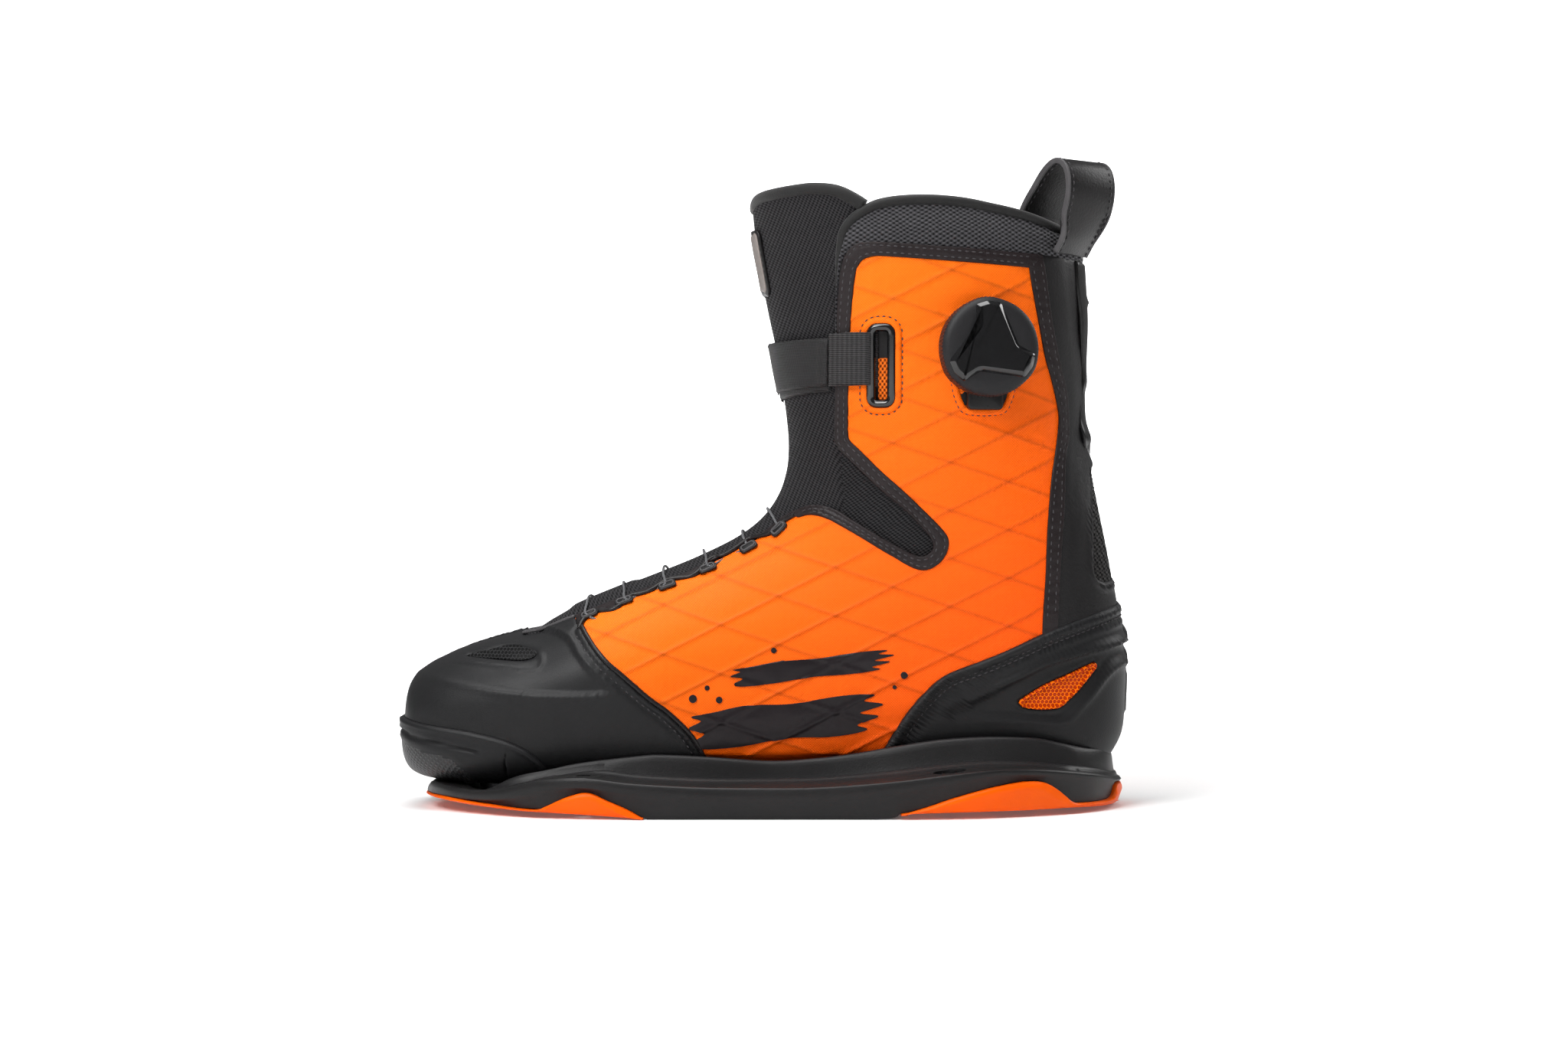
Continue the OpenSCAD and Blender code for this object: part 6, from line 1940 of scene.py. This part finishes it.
def grip_pad(name, node, x0, x1, top, crease):
    x = PLAN_OUT[:, 0]
    hi, mid, low = height_at(x, top) - 0.06, height_at(x, crease), height_at(x, GROUND)
    low = np.minimum(low, hi - 0.3)
    mid = np.clip(mid, low + 0.1, hi - 0.1)
    tall = hi - low
    plate = np.minimum(np.minimum(hi, 4.8), np.maximum(height_at(x, UNDER), 4.8))
    round_in = np.minimum(0.5, tall * 0.15)
    rings = [(PLAN_OUT * [1, 0], plate), (from_edge(5.4), plate), (from_edge(5.1), hi), (from_edge(1.4), hi),
             (from_edge(0.7), hi - round_in * 0.3), (from_edge(0.15), hi - round_in),
             (from_edge(-0.35), mid + 0.12 * tall), (from_edge(-0.45), mid),
             (from_edge(-0.2), mid - 0.08 * tall), (from_edge(1.1), low + 0.25 * (mid - low)),
             (from_edge(1.7), low + 0.08 * (mid - low)), (from_edge(2.4), low), (PLAN_OUT * [1, 0], low)]
    keep = (x >= x0) & (x <= x1)
    pad_body = plan_body(name, rings, PAD_ORANGE, keep=keep, replaces=[node], slot="grip_orange")
    drilled(pad_body, [(bx, by, BOLT_R, -5, 40) for bx, by in BOLTS if x0 < bx < x1]
            + [(sx, sy, SCREW_SINK_R, -5, 30) for sx, sy in SCREWS if x0 < sx < x1])


grip_pad("front_grip", "front_grip_pad", -148, -50, FRONT_TOP, FRONT_CREASE)
grip_pad("rear_grip", "rear_grip_pad", 55.5, 154, REAR_TOP, REAR_CREASE)

# ---- Printed paint smears and drops ----

STROKE = [(0, 0.1), (0.05, 0.24), (-0.02, 0.4), (0.06, 0.58), (0, 0.78), (0.04, 0.96), (0.25, 1.0),
          (0.5, 0.93), (0.75, 1.02), (0.93, 0.96), (0.88, 0.8), (1.0, 0.64), (0.9, 0.5), (1.03, 0.34),
          (0.93, 0.2), (0.99, 0.06), (0.8, 0), (0.55, 0.06), (0.3, -0.03), (0.12, 0.05)]
SMEARS = [((-31, 34.5), (47, 43), 16), ((-14, 57), (52, 65), 8.5)]
DROPS = [(-31, 48.5, 1.7), (-25, 53, 1.1), (-20, 48, 1.4), (58, 58, 1.5), (54, 53, 0.9), (3, 68.5, 1.2)]


def film_height(s):
    return embossing(s) + np.maximum(slack(s), 0) + 0.3


def print_film(name, outline):
    panel(name, side_line(outline, OUTER, 0.7, True), film_height, -0.3, GRAPHIC, step=1.0, rim=0.2)


for k, (foot, head, wide) in enumerate(SMEARS):
    a, b = np.array(foot, float), np.array(head, float)
    along = b - a
    across = np.array([along[1], -along[0]]) / np.linalg.norm(along) * wide
    print_film(f"printed_smear_{k}", [tuple(a + along * u + across * (v - 0.5)) for u, v in STROKE])
for k, (x, z, r) in enumerate(DROPS):
    print_film(f"printed_drop_{k}", [(x + r * math.cos(w), z + r * math.sin(w))
                                     for w in np.radians(range(0, 360, 45))])

# ---- Parts that show as they are ----

for name, material in (("outsole", RUBBER), ("frame_screws", STEEL), ("tee_nuts", BRASS),
                       ("lasting_board", BOARD),
                       ("footbed", FOOTBED), ("dial_spool", SPOOL), ("dial_washer", STEEL),
                       ("dial_screw", STEEL)):
    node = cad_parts[name]
    node.data.materials.clear()
    node.data.materials.append(material)

# ---- Studio ----

bpy.context.scene.view_settings.view_transform = "Standard"


def stage_sheet(name, corners_of, colour, glow, seen_only=False):
    n = Nodes(name)
    n.put(n.tint(n.noise(3, 2), tuple(c * 0.98 for c in colour), colour), n.shader.inputs["Base Color"])
    n.shader.inputs["Roughness"].default_value = 0.95
    n.shader.inputs["Specular IOR Level"].default_value = 0.0
    n.shader.inputs["Emission Color"].default_value = (1, 1, 1, 1)
    x, y, _ = n.axes(n.object)
    reach = n.math("SQRT", n.math("ADD", n.math("MULTIPLY", x, x), n.math("MULTIPLY", y, y)))
    n.put(n.spread(reach, glow, 1.1, 0.35, 1.3), n.shader.inputs["Emission Strength"])
    mesh = bpy.data.meshes.new(name)
    mesh.from_pydata(corners_of, [], [(0, 1, 2, 3)])
    o = bpy.data.objects.new(name, mesh)
    bpy.context.scene.collection.objects.link(o)
    mesh.materials.append(n.m)
    if seen_only:
        o.visible_glossy = o.visible_diffuse = o.visible_shadow = False


def light(name, place, aim, size, watts, size_y=None):
    data = bpy.data.lights.new(name, "AREA")
    data.shape = "RECTANGLE"
    data.size, data.size_y = size, size_y or size
    data.energy = watts
    o = bpy.data.objects.new(name, data)
    bpy.context.scene.collection.objects.link(o)
    o.location = place
    o.rotation_mode = "QUATERNION"
    o.rotation_quaternion = (Vector(aim) - Vector(place)).to_track_quat("-Z", "Y")


FLOOR, WALL = 3.2, 3.15
stage_sheet("studio_floor", [(-FLOOR, -FLOOR, 0), (FLOOR, -FLOOR, 0), (FLOOR, FLOOR, 0), (-FLOOR, FLOOR, 0)],
            (0.82, 0.82, 0.82), 0.08)
for k, (x, y) in enumerate(((0, 1), (1, 0), (0, -1), (-1, 0))):
    side_x, side_y = (FLOOR, 0) if y else (0, FLOOR)
    stage_sheet(f"studio_wall_{k}", [(x * WALL - side_x, y * WALL - side_y, -0.2),
                                     (x * WALL + side_x, y * WALL + side_y, -0.2),
                (x * WALL + side_x, y * WALL + side_y, 4), (x * WALL - side_x, y * WALL - side_y, 4)],
                (0.9, 0.9, 0.9), 1.1, seen_only=True)
world = bpy.data.worlds.new("studio")
world.use_nodes = True
world.node_tree.nodes["Background"].inputs["Color"].default_value = (1, 1, 1, 1)
world.node_tree.nodes["Background"].inputs["Strength"].default_value = 0.16
bpy.context.scene.world = world
light("top_softbox", (-0.15, -0.1, 1.5), (0, 0, 0.1), 1.3, 24, 1.0)
light("front_softbox", (-0.8, -1.15, 1.2), (-0.02, 0, 0.1), 0.75, 26)
light("rear_softbox", (1.25, 0.6, 0.9), (0.05, 0, 0.12), 0.7, 8)
